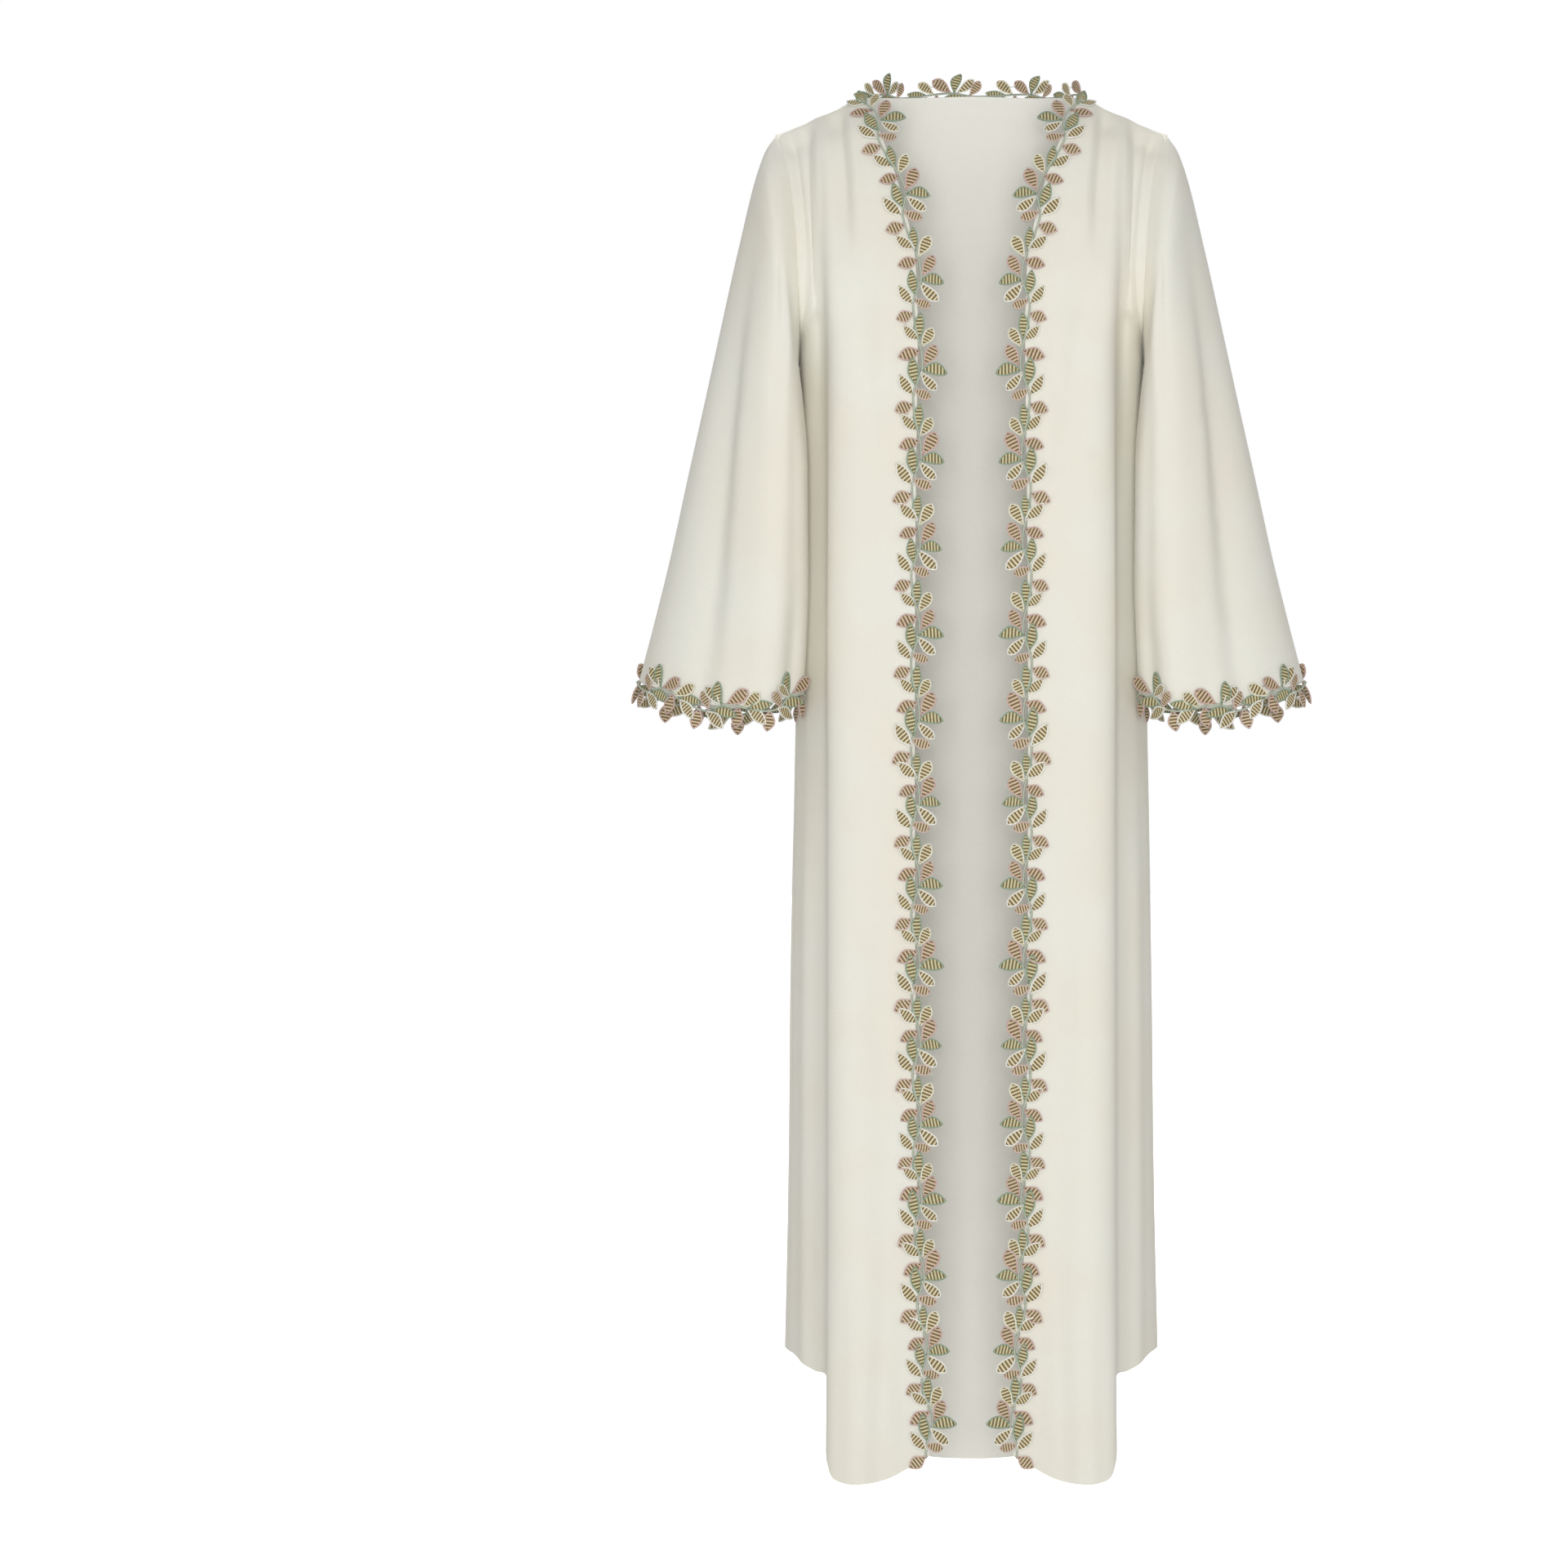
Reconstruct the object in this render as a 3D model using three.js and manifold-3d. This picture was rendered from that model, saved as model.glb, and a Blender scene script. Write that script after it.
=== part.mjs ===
// An open-front maxi dress with set-in bell sleeves and leaf lace down the fronts, round the back neck and
// round the cuffs. It keeps the hollow form it has when worn: each cloth piece is a wall through sections
// worked out from the sizes below. Millimetres; +X is the wearer's left, +Y the back and +Z up. The origin is
// midway between the two ends of the neckline on the shoulders, where the wearer carries the dress.

import * as THREE from "three";
import { mergeVertices } from "three/addons/utils/BufferGeometryUtils.js";
import Module from "manifold-3d";

// The rows of a table as objects, by the names of its columns.
const named = (columns, rows) => {
  const names = columns.split(" ");
  return rows.map((row) => Object.fromEntries(row.map((value, i) => [names[i], value])));
};

// Walls and gaps
const CLOTH = 2;
const SEAM_GAP = 0.34;
const ARMHOLE_GAP = 0.5;
const LACE = 1.5;

// The shoulder seam runs from the neck out to the sleeve, and drops on the way.
const NECK_HALF = 115;
const NECK_RISE = 12;
const SHOULDER = { reach: 201, back: 8, drop: 37 };

// Sections of the body from the shoulder seam (fall 0) to the hem (fall 1), as half widths and depths.
// edge: front opening. roll and trough: the deep fold beside it. side: armhole, then side seam.
// front and back: reach forward and back. armFront and armBack: where the side lies in depth on each panel.
// dip and backDip: depth of the side fold and of the back fold.
const SECTIONS = named("fall edge roll trough side front armFront armBack back dip backDip", [
  [  0.0,  115,  150,    160,  201,     0,        8,       8,   75,   0,       0],
  [0.012,  104,  149,    160,  196,    22,       -4,      18,   80,   2,       0],
  [ 0.03,   93,  148,    159,  189,    45,      -22,      36,   87,   4,       0],
  [ 0.07,   74,  145,    157,  182,    73,      -44,      55,   98,   7,       0],
  [ 0.12,   58,  143,    156,  178,    93,      -56,      68,  108,   9,       1],
  [0.155,   55,  143,    154,  176,   100,      -44,      56,  112,   9,       2],
  [0.187,   54,  143,    153,  176,   104,        8,       8,  114,   9,       3],
  [  0.3,   56,  145,    149,  176,   104,       10,      10,  112,   7,       5],
  [ 0.42,   57,  147,    146,  179,   101,       10,      10,  112,   4,       7],
  [ 0.55,   57,  147,    145,  182,   100,       10,      10,  118,   2,       9],
  [  0.7,   56,  147,    144,  185,   103,       11,      11,  125,   0,      11],
  [ 0.85,   53,  147,    144,  187,   107,       12,      12,  132,   0,      13],
  [  1.0,   42,  149,    143,  191,   112,       14,      14,  140,   0,      15],
]);
const UNDERARM = 6; // the section at the foot of the armhole

// Stations across a front panel, from the opening to the side. span: share of the way from the edge to the
// roll, or from the trough to the side. depth: share of the way back to the side. hem: how low the hem hangs.
const FRONT_STATIONS = named("name from to span depth dip hem", [
  [            "edge",   "edge", "roll",    0, 0.02, 0, 1381],
  [           "crest",   "edge", "roll",  0.4,    0, 0, 1404],
  ["shoulder_of_roll",   "edge", "roll", 0.78, 0.03, 0, 1410],
  [            "roll",   "edge", "roll",    1, 0.16, 0, 1393],
  [          "trough", "trough", "side",    0,  0.4, 1, 1314],
  [      "side_front", "trough", "side",  0.4, 0.62, 0, 1303],
  [            "side", "trough", "side",    1,    1, 0, 1286],
]);

// Stations across half of the back, from the side to the middle. top and low: share of the half width along
// the shoulder and neck, and further down. depth: share of the way to the furthest point back.
const BACK_STATIONS = named("name top low depth dip hem", [
  [       "side",                          1,    1,    0, 0, 1286],
  [  "side_back",                       0.86, 0.97, 0.42, 0, 1298],
  [  "back_roll",                      0.716, 0.84, 0.78, 0, 1313],
  ["back_trough", NECK_HALF / SHOULDER.reach, 0.62, 0.95, 1, 1372],
  [ "back_crest",                      0.308, 0.36,    1, 0, 1410],
  [     "middle",                          0,    0,    1, 0, 1418],
]);
const BACK_SETTLES = 0.15; // the fall by which the back has its lower spacing
const NECK_SETTLES = 0.07; // the fall by which it has left the curve of the neckline
const FOLD_INWARDS = 0.5; // shares of the side fold's depth by which it sinks each way
const FOLD_BACKWARDS = 0.85;
const NECK_STATION = 3;
const NECK_FULLNESS = 0.55; // how square the back neckline is in plan

// Rings of a sleeve below the armhole. out and in: its outer and inner line. half: half its depth.
// swing: how far the front leans to the body. droop: how much lower the cuff hangs between those lines.
const SLEEVE_RINGS = named("outX outY outZ inX inY inZ half swing droop", [
  [217,  4,  -67, 179,   0, -288, 71,  -9,  0],
  [239,  0, -155, 174, -22, -318, 72, -12,  0],
  [262, -4, -258, 168, -38, -362, 70,  -8,  2],
  [285, -6, -366, 167, -45, -430, 66,  -8,  6],
  [305, -6, -462, 166, -48, -500, 64,  -8, 11],
  [324, -6, -540, 168, -48, -562, 64,  -8, 16],
  [340, -4, -600, 171, -46, -614, 66,  -8, 20],
]);
const CUFF = SLEEVE_RINGS.length;

// Long soft folds of a sleeve: where each starts and ends, as a ring and an angle round from the outer line
// over the front, with its depth at the cuff and its half width, in degrees.
const SLEEVE_FOLDS = named("ring angle cuffAngle depth spread", [
  [1.5,  38,  92, 11, 24],
  [  4, 145, 140,  6, 20],
  [  3, 250, 262,  9, 26],
  [  4, 308, 305,  4, 20],
]);

// One repeat of the leaf lace. along: down the vine. across: into the cloth. heading: 0 points straight off
// the cloth's edge and 90 back up the vine, in degrees.
const REPEAT = 96;
const VINE_WIDTH = 2;
const VINE = named("along across", [
  [ 0, -4.6],
  [22,  4.2],
  [46,  2.6],
  [76,   -4],
]);
const LEAVES = named("along across heading length width", [
  [ 1, -4.2,  -8, 28,   12],
  [ 9,   -1, -52, 26,   11],
  [15,  1.4,  98, 27,  9.5],
  [28,  3.8, 134, 27, 10.5],
  [42,  2.8, 178, 22,   13],
  [70, -2.7, 128, 28, 10.5],
  [82, -4.2, 170, 23, 12.5],
  [90, -4.4,  56, 25,   11],
]);
const LEAF_WIDEST = 0.56; // share of a leaf's length at which it is widest

// How each length of lace repeats. start: where its first repeat begins. first and last: the repeats' length
// as a share of the plain one, which only moves the leaves closer. leaf and sway: the size of the leaves and
// how far the vine swings, as shares of the plain ones. fans: -1 where the fans lie on the cloth. shift: how
// much further into the cloth the vine runs. lift: how far it all stands off the cloth, which is more where
// the cloth is rounder.
const LACES = named("name start repeats first last leaf sway fans shift lift", [
  ["front", -46, 18,    1, 0.75,    1,   1,  1,    0, 0.9],
  [ "neck", -34,  5, 0.85, 0.85, 0.64, 0.4,  1, -1.5, 3.4],
  [ "cuff", -48,  4,  0.8,  0.8,    1,   1, -1,   -3, 2.9],
]);
const [FRONT_LACE, NECK_LACE, CUFF_LACE] = LACES;
const LACE_RIBS = 6; // how many of a panel's rows or columns the lace is laid on

// Where the walls have their rows and columns, counted in sections, stations and rings.
const ROWS = [0, 0.5, 1, 1.5, 2, 2.5, 3, 3.5, 4, 4.5, 5, 5.5, 6, 6.5, 7, 8, 9, 10, 11, 12];
const FRONT_COLUMNS = [0, 0.4, 0.8, 1.4, 2, 2.4, 2.7, 3, 3.3, 3.65, 4, 4.5, 5, 6];
const BACK_COLUMNS = [0, 0.5, 1, 1.5, 2, 2.5, 3, 3.5, 4, 4.5, 5];
const SLEEVE_ROWS = [0, 0.5, 1, 1.5, 2, 3, 4, 5, 6, 7];

const wasm = await Module();
wasm.setup();

const vec = (x, y, z) => new THREE.Vector3(x, y, z);
const mix = THREE.MathUtils.lerp;
const radians = THREE.MathUtils.degToRad;

// Curves through knots

const NORMAL_STEP = 0.02; // how far apart the points are that give a normal, in knots

// The knot beyond a, seen from b.
const beyond = (a, b) => a.clone().multiplyScalar(2).sub(b);

// A point on the smooth curve through the knots. The first and last knots only steer its ends, and the curve
// turns a sharp corner at each knot in corners.
function along(knots, t, corners = []) {
  const i = Math.max(0, Math.min(Math.floor(t), knots.length - 4));
  const f = t - i;
  const [b, c] = [knots[i + 1], knots[i + 2]];
  const a = corners.includes(i) ? beyond(b, c) : knots[i];
  const d = corners.includes(i + 1) ? beyond(c, b) : knots[i + 3];
  const weights = [
    0.5 * (-f + 2 * f * f - f * f * f),
    0.5 * (2 - 5 * f * f + 3 * f * f * f),
    0.5 * (f + 4 * f * f - 3 * f * f * f),
    0.5 * (-f * f + f * f * f),
  ];
  return [a, b, c, d].reduce((sum, p, k) => sum.addScaledVector(p, weights[k]), vec(0, 0, 0));
}

// The knots with one more at each end, mirrored outwards.
const steered = (knots) => [beyond(knots[0], knots[1]), ...knots, beyond(knots.at(-1), knots.at(-2))];

// A cloth surface through a net of knots: u runs across it and v down it.
class Surface {
  constructor(rows, corners = []) {
    this.rows = rows;
    this.corners = corners;
  }

  point(u, v) {
    const column = this.rows.map((row, i) => along(row, u, i === 0 ? this.corners : []));
    return along(steered(column), v);
  }

  // The unit normal, out of the garment.
  normal(u, v) {
    const h = NORMAL_STEP;
    const across = this.point(u + h, v).sub(this.point(u - h, v));
    const down = this.point(u, v + h).sub(this.point(u, v - h));
    return down.cross(across).normalize();
  }
}

// The body

// How high the shoulder seam or the back neckline is at a distance x from the middle.
function topHeight(x) {
  if (x < NECK_HALF) return NECK_RISE * (1 - (x / NECK_HALF) ** 2);
  return (-SHOULDER.drop * (x - NECK_HALF)) / (SHOULDER.reach - NECK_HALF);
}

// How far back the shoulder seam or the back neckline is at a distance x from the middle.
function topDepth(x, back) {
  if (x < NECK_HALF) return back * (1 - (x / NECK_HALF) ** 2) ** NECK_FULLNESS;
  return (SHOULDER.back * (x - NECK_HALF)) / (SHOULDER.reach - NECK_HALF);
}

function frontKnot(section, station) {
  const dip = section.dip * station.dip;
  const x = mix(section[station.from], section[station.to], station.span) - FOLD_INWARDS * dip;
  const topX = mix(SECTIONS[0][station.from], SECTIONS[0][station.to], station.span);
  const top = topHeight(topX);
  const z = mix(top, -station.hem, section.fall);
  if (section.fall === 0) return vec(topX, topDepth(topX, 0), top);
  const y = mix(-section.front, section.armFront, station.depth) + FOLD_BACKWARDS * dip;
  return vec(x, y, z);
}

function backKnot(section, station) {
  const settled = THREE.MathUtils.smoothstep(section.fall, 0, BACK_SETTLES);
  const x = section.side * mix(station.top, station.low, settled);
  const topX = SHOULDER.reach * station.top;
  const z = mix(topHeight(topX), -station.hem, section.fall);
  const topY = topDepth(topX, section.back);
  const lowY = mix(section.armBack, section.back, station.depth) - section.backDip * station.dip;
  return vec(x, mix(topY, lowY, THREE.MathUtils.smoothstep(section.fall, 0, NECK_SETTLES)), z);
}

const mirrored = (p) => vec(-p.x, p.y, p.z);

const frontKnots = SECTIONS.map((s) => FRONT_STATIONS.map((station) => frontKnot(s, station)));
const halfBackKnots = SECTIONS.map((s) => BACK_STATIONS.map((station) => backKnot(s, station)));

// Below the underarm, each panel's last knot steers the other's curve, so the side seam is smooth.
const frontSurface = new Surface(
  frontKnots.map((row, i) => [
    beyond(row[0], row[1]),
    ...row,
    i < UNDERARM ? beyond(row.at(-1), row.at(-2)) : halfBackKnots[i][1],
  ]),
);
const backSurface = new Surface(
  halfBackKnots.map((row, i) => {
    const other = row.slice(0, -1).map(mirrored).reverse();
    const steer = i < UNDERARM ? beyond(row[0], row[1]) : frontKnots[i].at(-2);
    return [steer, ...row, ...other, mirrored(steer)];
  }),
  [NECK_STATION, 2 * (BACK_STATIONS.length - 1) - NECK_STATION],
);
const FRONT_SIDE = FRONT_STATIONS.length - 1;
const BACK_MIDDLE = BACK_STATIONS.length - 1;

// The sleeves

// Lengths along a curve, as shares of its whole length, at each value in steps.
function shares(curve, steps) {
  const points = steps.map(curve);
  const sums = [0];
  points.slice(1).forEach((p, i) => sums.push(sums[i] + p.distanceTo(points[i])));
  return sums.map((s) => s / sums.at(-1));
}

// The armhole as columns: each has its point on the body and its angle round the sleeve, from the shoulder
// over the front to the underarm and up the back.
function armhole() {
  const down = ROWS.filter((v) => v <= UNDERARM);
  const front = (v) => frontSurface.point(FRONT_SIDE, v);
  const back = (v) => backSurface.point(0, v);
  const frontShares = shares(front, down);
  const backShares = shares(back, down);
  return [
    ...down.map((v, i) => ({ point: front(v), angle: Math.PI * frontShares[i] })),
    ...down
      .slice(1, -1)
      .map((v, i) => ({ point: back(v), angle: Math.PI * (2 - backShares[i + 1]) }))
      .reverse(),
  ];
}

function ringPoint(ring, angle) {
  const outer = vec(ring.outX, ring.outY, ring.outZ);
  const middle = vec(ring.inX, ring.inY, ring.inZ).lerp(outer, 0.5);
  const outwards = outer.sub(middle);
  const forwards = vec(ring.swing, -ring.half, 0);
  const sag = ring.droop * Math.sin(angle) ** 2;
  const around = outwards.multiplyScalar(Math.cos(angle)).addScaledVector(forwards, Math.sin(angle));
  return middle.add(around).sub(vec(0, 0, sag));
}

// How far a sleeve's folds sink it at a ring and an angle.
function foldDepth(ring, angle) {
  return SLEEVE_FOLDS.reduce((sum, fold) => {
    const grown = THREE.MathUtils.clamp((ring - fold.ring) / (CUFF - fold.ring), 0, 1);
    const centre = radians(mix(fold.angle, fold.cuffAngle, grown));
    const off = (angle - centre) / radians(fold.spread);
    return sum + fold.depth * Math.sqrt(grown) * Math.exp(-off * off);
  }, 0);
}

const armholeColumns = armhole();

// A point of the left sleeve on one of the armhole's columns.
function sleevePoint(column, ring) {
  const start = column.point.clone().add(vec(ARMHOLE_GAP, 0, 0));
  const knots = [start, ...SLEEVE_RINGS.map((r) => ringPoint(r, column.angle))];
  const point = along(steered(knots), ring);
  const near = SLEEVE_RINGS[Math.max(0, Math.round(ring) - 1)];
  const inwards = vec((near.outX + near.inX) / 2, (near.outY + near.inY) / 2, point.z).sub(point).normalize();
  return point.addScaledVector(inwards, foldDepth(ring, column.angle));
}

// Walls

// A closed solid between two grids of points. The near one faces out where its rows go down and its columns
// to the right. A grid whose columns close on themselves is a tube.
function wall(near, far, closed = false) {
  const rows = near.length;
  const columns = near[0].length;
  const positions = [...near.flat(), ...far.flat()].flatMap((p) => p.toArray());
  const index = [];
  const at = (layer, i, j) => layer * rows * columns + i * columns + (j % columns);
  const quad = (a, b, c, d) => index.push(a, b, c, a, c, d);
  const spans = closed ? columns : columns - 1;
  for (let i = 0; i < rows - 1; i++) {
    for (let j = 0; j < spans; j++) {
      quad(at(0, i, j), at(0, i + 1, j), at(0, i + 1, j + 1), at(0, i, j + 1));
      quad(at(1, i, j), at(1, i, j + 1), at(1, i + 1, j + 1), at(1, i + 1, j));
    }
  }
  for (let j = 0; j < spans; j++) {
    quad(at(0, 0, j), at(0, 0, j + 1), at(1, 0, j + 1), at(1, 0, j));
    quad(at(0, rows - 1, j), at(1, rows - 1, j), at(1, rows - 1, j + 1), at(0, rows - 1, j + 1));
  }
  for (let i = 0; i < rows - 1 && !closed; i++) {
    quad(at(0, i, 0), at(1, i, 0), at(1, i + 1, 0), at(0, i + 1, 0));
    quad(at(0, i, columns - 1), at(0, i + 1, columns - 1), at(1, i + 1, columns - 1), at(1, i, columns - 1));
  }
  return new THREE.BufferGeometry()
    .setAttribute("position", new THREE.Float32BufferAttribute(positions, 3))
    .setIndex(index);
}

// The same geometry on the wearer's other side, still facing out.
function otherSide(geometry) {
  const turned = geometry.clone().scale(-1, 1, 1);
  const index = Array.from(turned.index.array);
  for (let i = 0; i < index.length; i += 3) [index[i + 1], index[i + 2]] = [index[i + 2], index[i + 1]];
  return turned.setIndex(index);
}

// Outward normals of a sleeve's grid, from the points round each one.
function tubeNormals(grid) {
  const rows = grid.length;
  const columns = grid[0].length;
  return grid.map((row, i) =>
    row.map((_, j) => {
      const around = row[(j + 1) % columns].clone().sub(row[(j + columns - 1) % columns]);
      const down = grid[Math.min(i + 1, rows - 1)][j].clone().sub(grid[Math.max(i - 1, 0)][j]);
      return around.cross(down).normalize();
    }),
  );
}

const average = (...normals) => normals.reduce((sum, n) => sum.add(n), vec(0, 0, 0)).normalize();
const inwards = (grid, normals) =>
  grid.map((row, i) => row.map((p, j) => p.clone().addScaledVector(normals[i][j], -CLOTH)));

const sleeveGrid = SLEEVE_ROWS.map((ring) => armholeColumns.map((column) => sleevePoint(column, ring)));
const sleeveNormals = tubeNormals(sleeveGrid);

// Two sewn edges share a normal, so their walls meet in a mitre.
function shoulderNormal(x) {
  const spread = (x - NECK_HALF) / (SHOULDER.reach - NECK_HALF);
  const front = frontSurface.normal(spread * FRONT_SIDE, 0);
  return average(front, backSurface.normal(NECK_STATION * (1 - spread), 0));
}
const sideNormal = (v) => average(frontSurface.normal(FRONT_SIDE, v), backSurface.normal(0, v));
const underarmRow = ROWS.indexOf(UNDERARM);

// The normal shared by a panel and the sleeve at one of the armhole's columns.
function armholeNormal(column) {
  const onBack = column > underarmRow;
  const row = onBack ? armholeColumns.length - column : column;
  const panel = onBack ? backSurface.normal(0, ROWS[row]) : frontSurface.normal(FRONT_SIDE, ROWS[row]);
  const body = { 0: shoulderNormal(SHOULDER.reach), [underarmRow]: sideNormal(UNDERARM) }[row] ?? panel;
  return average(body, sleeveNormals[0][column]);
}

// A point of the side seam, midway between the two panels' own lines.
const sidePoint = (v) => frontSurface.point(FRONT_SIDE, v).add(backSurface.point(0, v)).divideScalar(2);

function frontGrid() {
  const last = FRONT_COLUMNS.length - 1;
  const points = ROWS.map((v) => FRONT_COLUMNS.map((u) => frontSurface.point(u, v)));
  const normals = ROWS.map((v) => FRONT_COLUMNS.map((u) => frontSurface.normal(u, v)));
  ROWS.forEach((v, i) => {
    normals[i][last] = i <= underarmRow ? armholeNormal(i) : sideNormal(v);
    if (i > underarmRow) points[i][last] = sidePoint(v);
    if (i >= underarmRow) points[i][last].y -= SEAM_GAP / 2;
  });
  points[0].forEach((p, j) => {
    if (j < last) normals[0][j] = shoulderNormal(p.x);
    p.y -= SEAM_GAP / 2;
  });
  return { points, normals };
}

function backGrid() {
  const columns = [...BACK_COLUMNS, ...BACK_COLUMNS.slice(0, -1).map((u) => 2 * BACK_MIDDLE - u).reverse()];
  const last = columns.length - 1;
  const points = ROWS.map((v) => columns.map((u) => backSurface.point(u, v)));
  const normals = ROWS.map((v) => columns.map((u) => backSurface.normal(u, v)));
  ROWS.forEach((v, i) => {
    const column = (armholeColumns.length - i) % armholeColumns.length;
    normals[i][0] = i <= underarmRow ? armholeNormal(column) : sideNormal(v);
    if (i > underarmRow) points[i][0] = sidePoint(v);
    if (i >= underarmRow) points[i][0].y += SEAM_GAP / 2;
  });
  points[0].forEach((p, j) => {
    if (p.x < NECK_HALF - 1 || j > BACK_MIDDLE * 4) return;
    if (j > 0) normals[0][j] = shoulderNormal(p.x);
    p.y += SEAM_GAP / 2;
  });
  for (let i = 0; i < ROWS.length; i++) {
    for (let j = 0; j < last / 2; j++) {
      points[i][last - j] = mirrored(points[i][j]);
      normals[i][last - j] = mirrored(normals[i][j]);
    }
  }
  return { points, normals };
}

function sleeveWall() {
  const normals = sleeveNormals.map((row, i) => (i === 0 ? row.map((_, j) => armholeNormal(j)) : row));
  return wall(inwards(sleeveGrid, normals), sleeveGrid, true);
}

// Leaf lace

// A flat closed polygon raised to the lace's thickness, as a solid.
function raised(points) {
  const shape = new THREE.Shape(points.map(([x, y]) => new THREE.Vector2(x, y)));
  const geometry = new THREE.ExtrudeGeometry(shape, { depth: LACE, bevelEnabled: false });
  geometry.deleteAttribute("normal");
  geometry.deleteAttribute("uv");
  return solid(mergeVertices(geometry, 1e-4));
}

function solid(geometry) {
  const mesh = new wasm.Mesh({
    numProp: 3,
    vertProperties: geometry.attributes.position.array,
    triVerts: new Uint32Array(geometry.index.array),
  });
  return new wasm.Manifold(mesh);
}

// One leaf's outline. The first number of a point runs along the vine and the second into the cloth.
function leafOutline(leaf, repeat, pattern) {
  const angle = radians(leaf.heading);
  const forward = [-Math.sin(angle), -Math.cos(angle) * pattern.fans];
  const beside = [-forward[1], forward[0]];
  const root = [repeat.start + leaf.along * repeat.size, leaf.across * pattern.sway * pattern.fans];
  const place = (reach, out) => [0, 1].map((k) => root[k] + forward[k] * reach + beside[k] * out);
  const length = leaf.length * pattern.leaf;
  const half = (leaf.width * pattern.leaf) / 2;
  const widest = length * LEAF_WIDEST;
  return [place(0, 0), place(widest, -half), place(length, 0), place(widest, half)];
}

// The outline of the vine, cut to the length of its edge.
function vineOutline(repeats, length, { sway, fans }) {
  const knots = repeats.flatMap((r) => VINE.map((k) => [r.start + k.along * r.size, k.across * sway * fans]));
  const cut = (s) => {
    const i = knots.findIndex((k) => k[0] >= s);
    return [s, mix(knots[i - 1][1], knots[i][1], (s - knots[i - 1][0]) / (knots[i][0] - knots[i - 1][0]))];
  };
  const middle = knots.filter(([s]) => s > 1 && s < length - 1);
  const line = [cut(SEAM_GAP), ...middle, cut(length - SEAM_GAP)];
  const side = (out) => line.map(([s, t]) => [s, t + (out * VINE_WIDTH) / 2]);
  return [...side(-1), ...side(1).reverse()];
}

// The flat lace of an edge of this length, as one solid.
function flatLace(length, pattern) {
  const { start, repeats, first, last } = pattern;
  const placed = [];
  for (let i = 0, s = start; i < repeats; i++) {
    const size = mix(first, last, i / (repeats - 1));
    placed.push({ start: s, size });
    s += REPEAT * size;
  }
  const leaves = placed
    .flatMap((repeat) => LEAVES.map((leaf) => leafOutline(leaf, repeat, pattern)))
    .filter((outline) => outline.every(([s]) => s > SEAM_GAP && s < length - SEAM_GAP));
  const outlines = [vineOutline(placed, length, pattern), ...leaves];
  return outlines.map(raised).reduce((whole, piece) => whole.add(piece));
}

// Distances from the first point of a line to each of its points.
function distances(points) {
  const sums = [0];
  points.slice(1).forEach((p, i) => sums.push(sums[i] + p.distanceTo(points[i])));
  return sums;
}

// The span of a list of distances in which s lies, and how far into that span.
function locate(sums, s) {
  const i = Math.max(0, Math.min(sums.findLastIndex((sum) => sum <= s), sums.length - 2));
  return [i, (s - sums[i]) / (sums[i + 1] - sums[i])];
}

// A place on one rib, which runs from the edge into the cloth. Past the edge the cloth is carried on flat.
function onRib(rib, t) {
  const [i, f] = locate(rib.sums, t);
  return {
    point: rib.points[i].clone().lerp(rib.points[i + 1], f),
    normal: rib.normals[i].clone().lerp(rib.normals[i + 1], Math.max(0, f)),
  };
}

// Carries flat lace onto the cloth along an edge, given by ribs that start at the edge.
function laceOn(ribs, pattern) {
  const edge = distances(ribs.map((rib) => rib.points[0]));
  const measured = ribs.map((rib) => ({ ...rib, sums: distances(rib.points) }));
  const mesh = flatLace(edge.at(-1), pattern).getMesh();
  const positions = [];
  for (let k = 0; k < mesh.numVert; k++) {
    const [s, t, h] = mesh.vertProperties.subarray(k * mesh.numProp, k * mesh.numProp + 3);
    const [i, f] = locate(edge, s);
    const [a, b] = [measured[i], measured[i + 1]].map((rib) => onRib(rib, t + pattern.shift));
    const normal = a.normal.lerp(b.normal, f).normalize();
    positions.push(...a.point.lerp(b.point, f).addScaledVector(normal, pattern.lift + h).toArray());
  }
  return new THREE.BufferGeometry()
    .setAttribute("position", new THREE.Float32BufferAttribute(positions, 3))
    .setIndex(Array.from(mesh.triVerts));
}

// Ribs across a grid from its first column, and down it from its first row at one column.
const across = (grid, i) => ({
  points: grid.points[i].slice(0, LACE_RIBS),
  normals: grid.normals[i].slice(0, LACE_RIBS),
});
const downwards = (grid, j) => {
  const rows = [...Array(LACE_RIBS).keys()];
  return { points: rows.map((i) => grid.points[i][j]), normals: rows.map((i) => grid.normals[i][j]) };
};

const front = frontGrid();
const back = backGrid();
const sleeve = { points: [...sleeveGrid].reverse(), normals: [...sleeveNormals].reverse() };
const around = armholeColumns.length;
const neckColumn = BACK_COLUMNS.indexOf(NECK_STATION);
const neckColumns = [...Array(back.points[0].length).keys()].slice(neckColumn, -neckColumn).reverse();

const cloth = new THREE.MeshStandardMaterial({ color: 0xe6e1d2, roughness: 0.72, metalness: 0 });
const lace = new THREE.MeshStandardMaterial({ color: 0xb7a47c, roughness: 0.8, metalness: 0 });
const dress = new THREE.Group();

function add(name, geometry, material) {
  const mesh = new THREE.Mesh(geometry, material);
  mesh.name = name;
  dress.add(mesh);
}

// The same piece on each side of the body; %s in the name becomes left or right.
function addPair(name, geometry, material) {
  add(name.replace("%s", "left"), geometry, material);
  add(name.replace("%s", "right"), otherSide(geometry), material);
}

add("back", wall(back.points, inwards(back.points, back.normals)), cloth);
addPair("front_%s", wall(front.points, inwards(front.points, front.normals)), cloth);
addPair("sleeve_%s", sleeveWall(), cloth);

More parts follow.
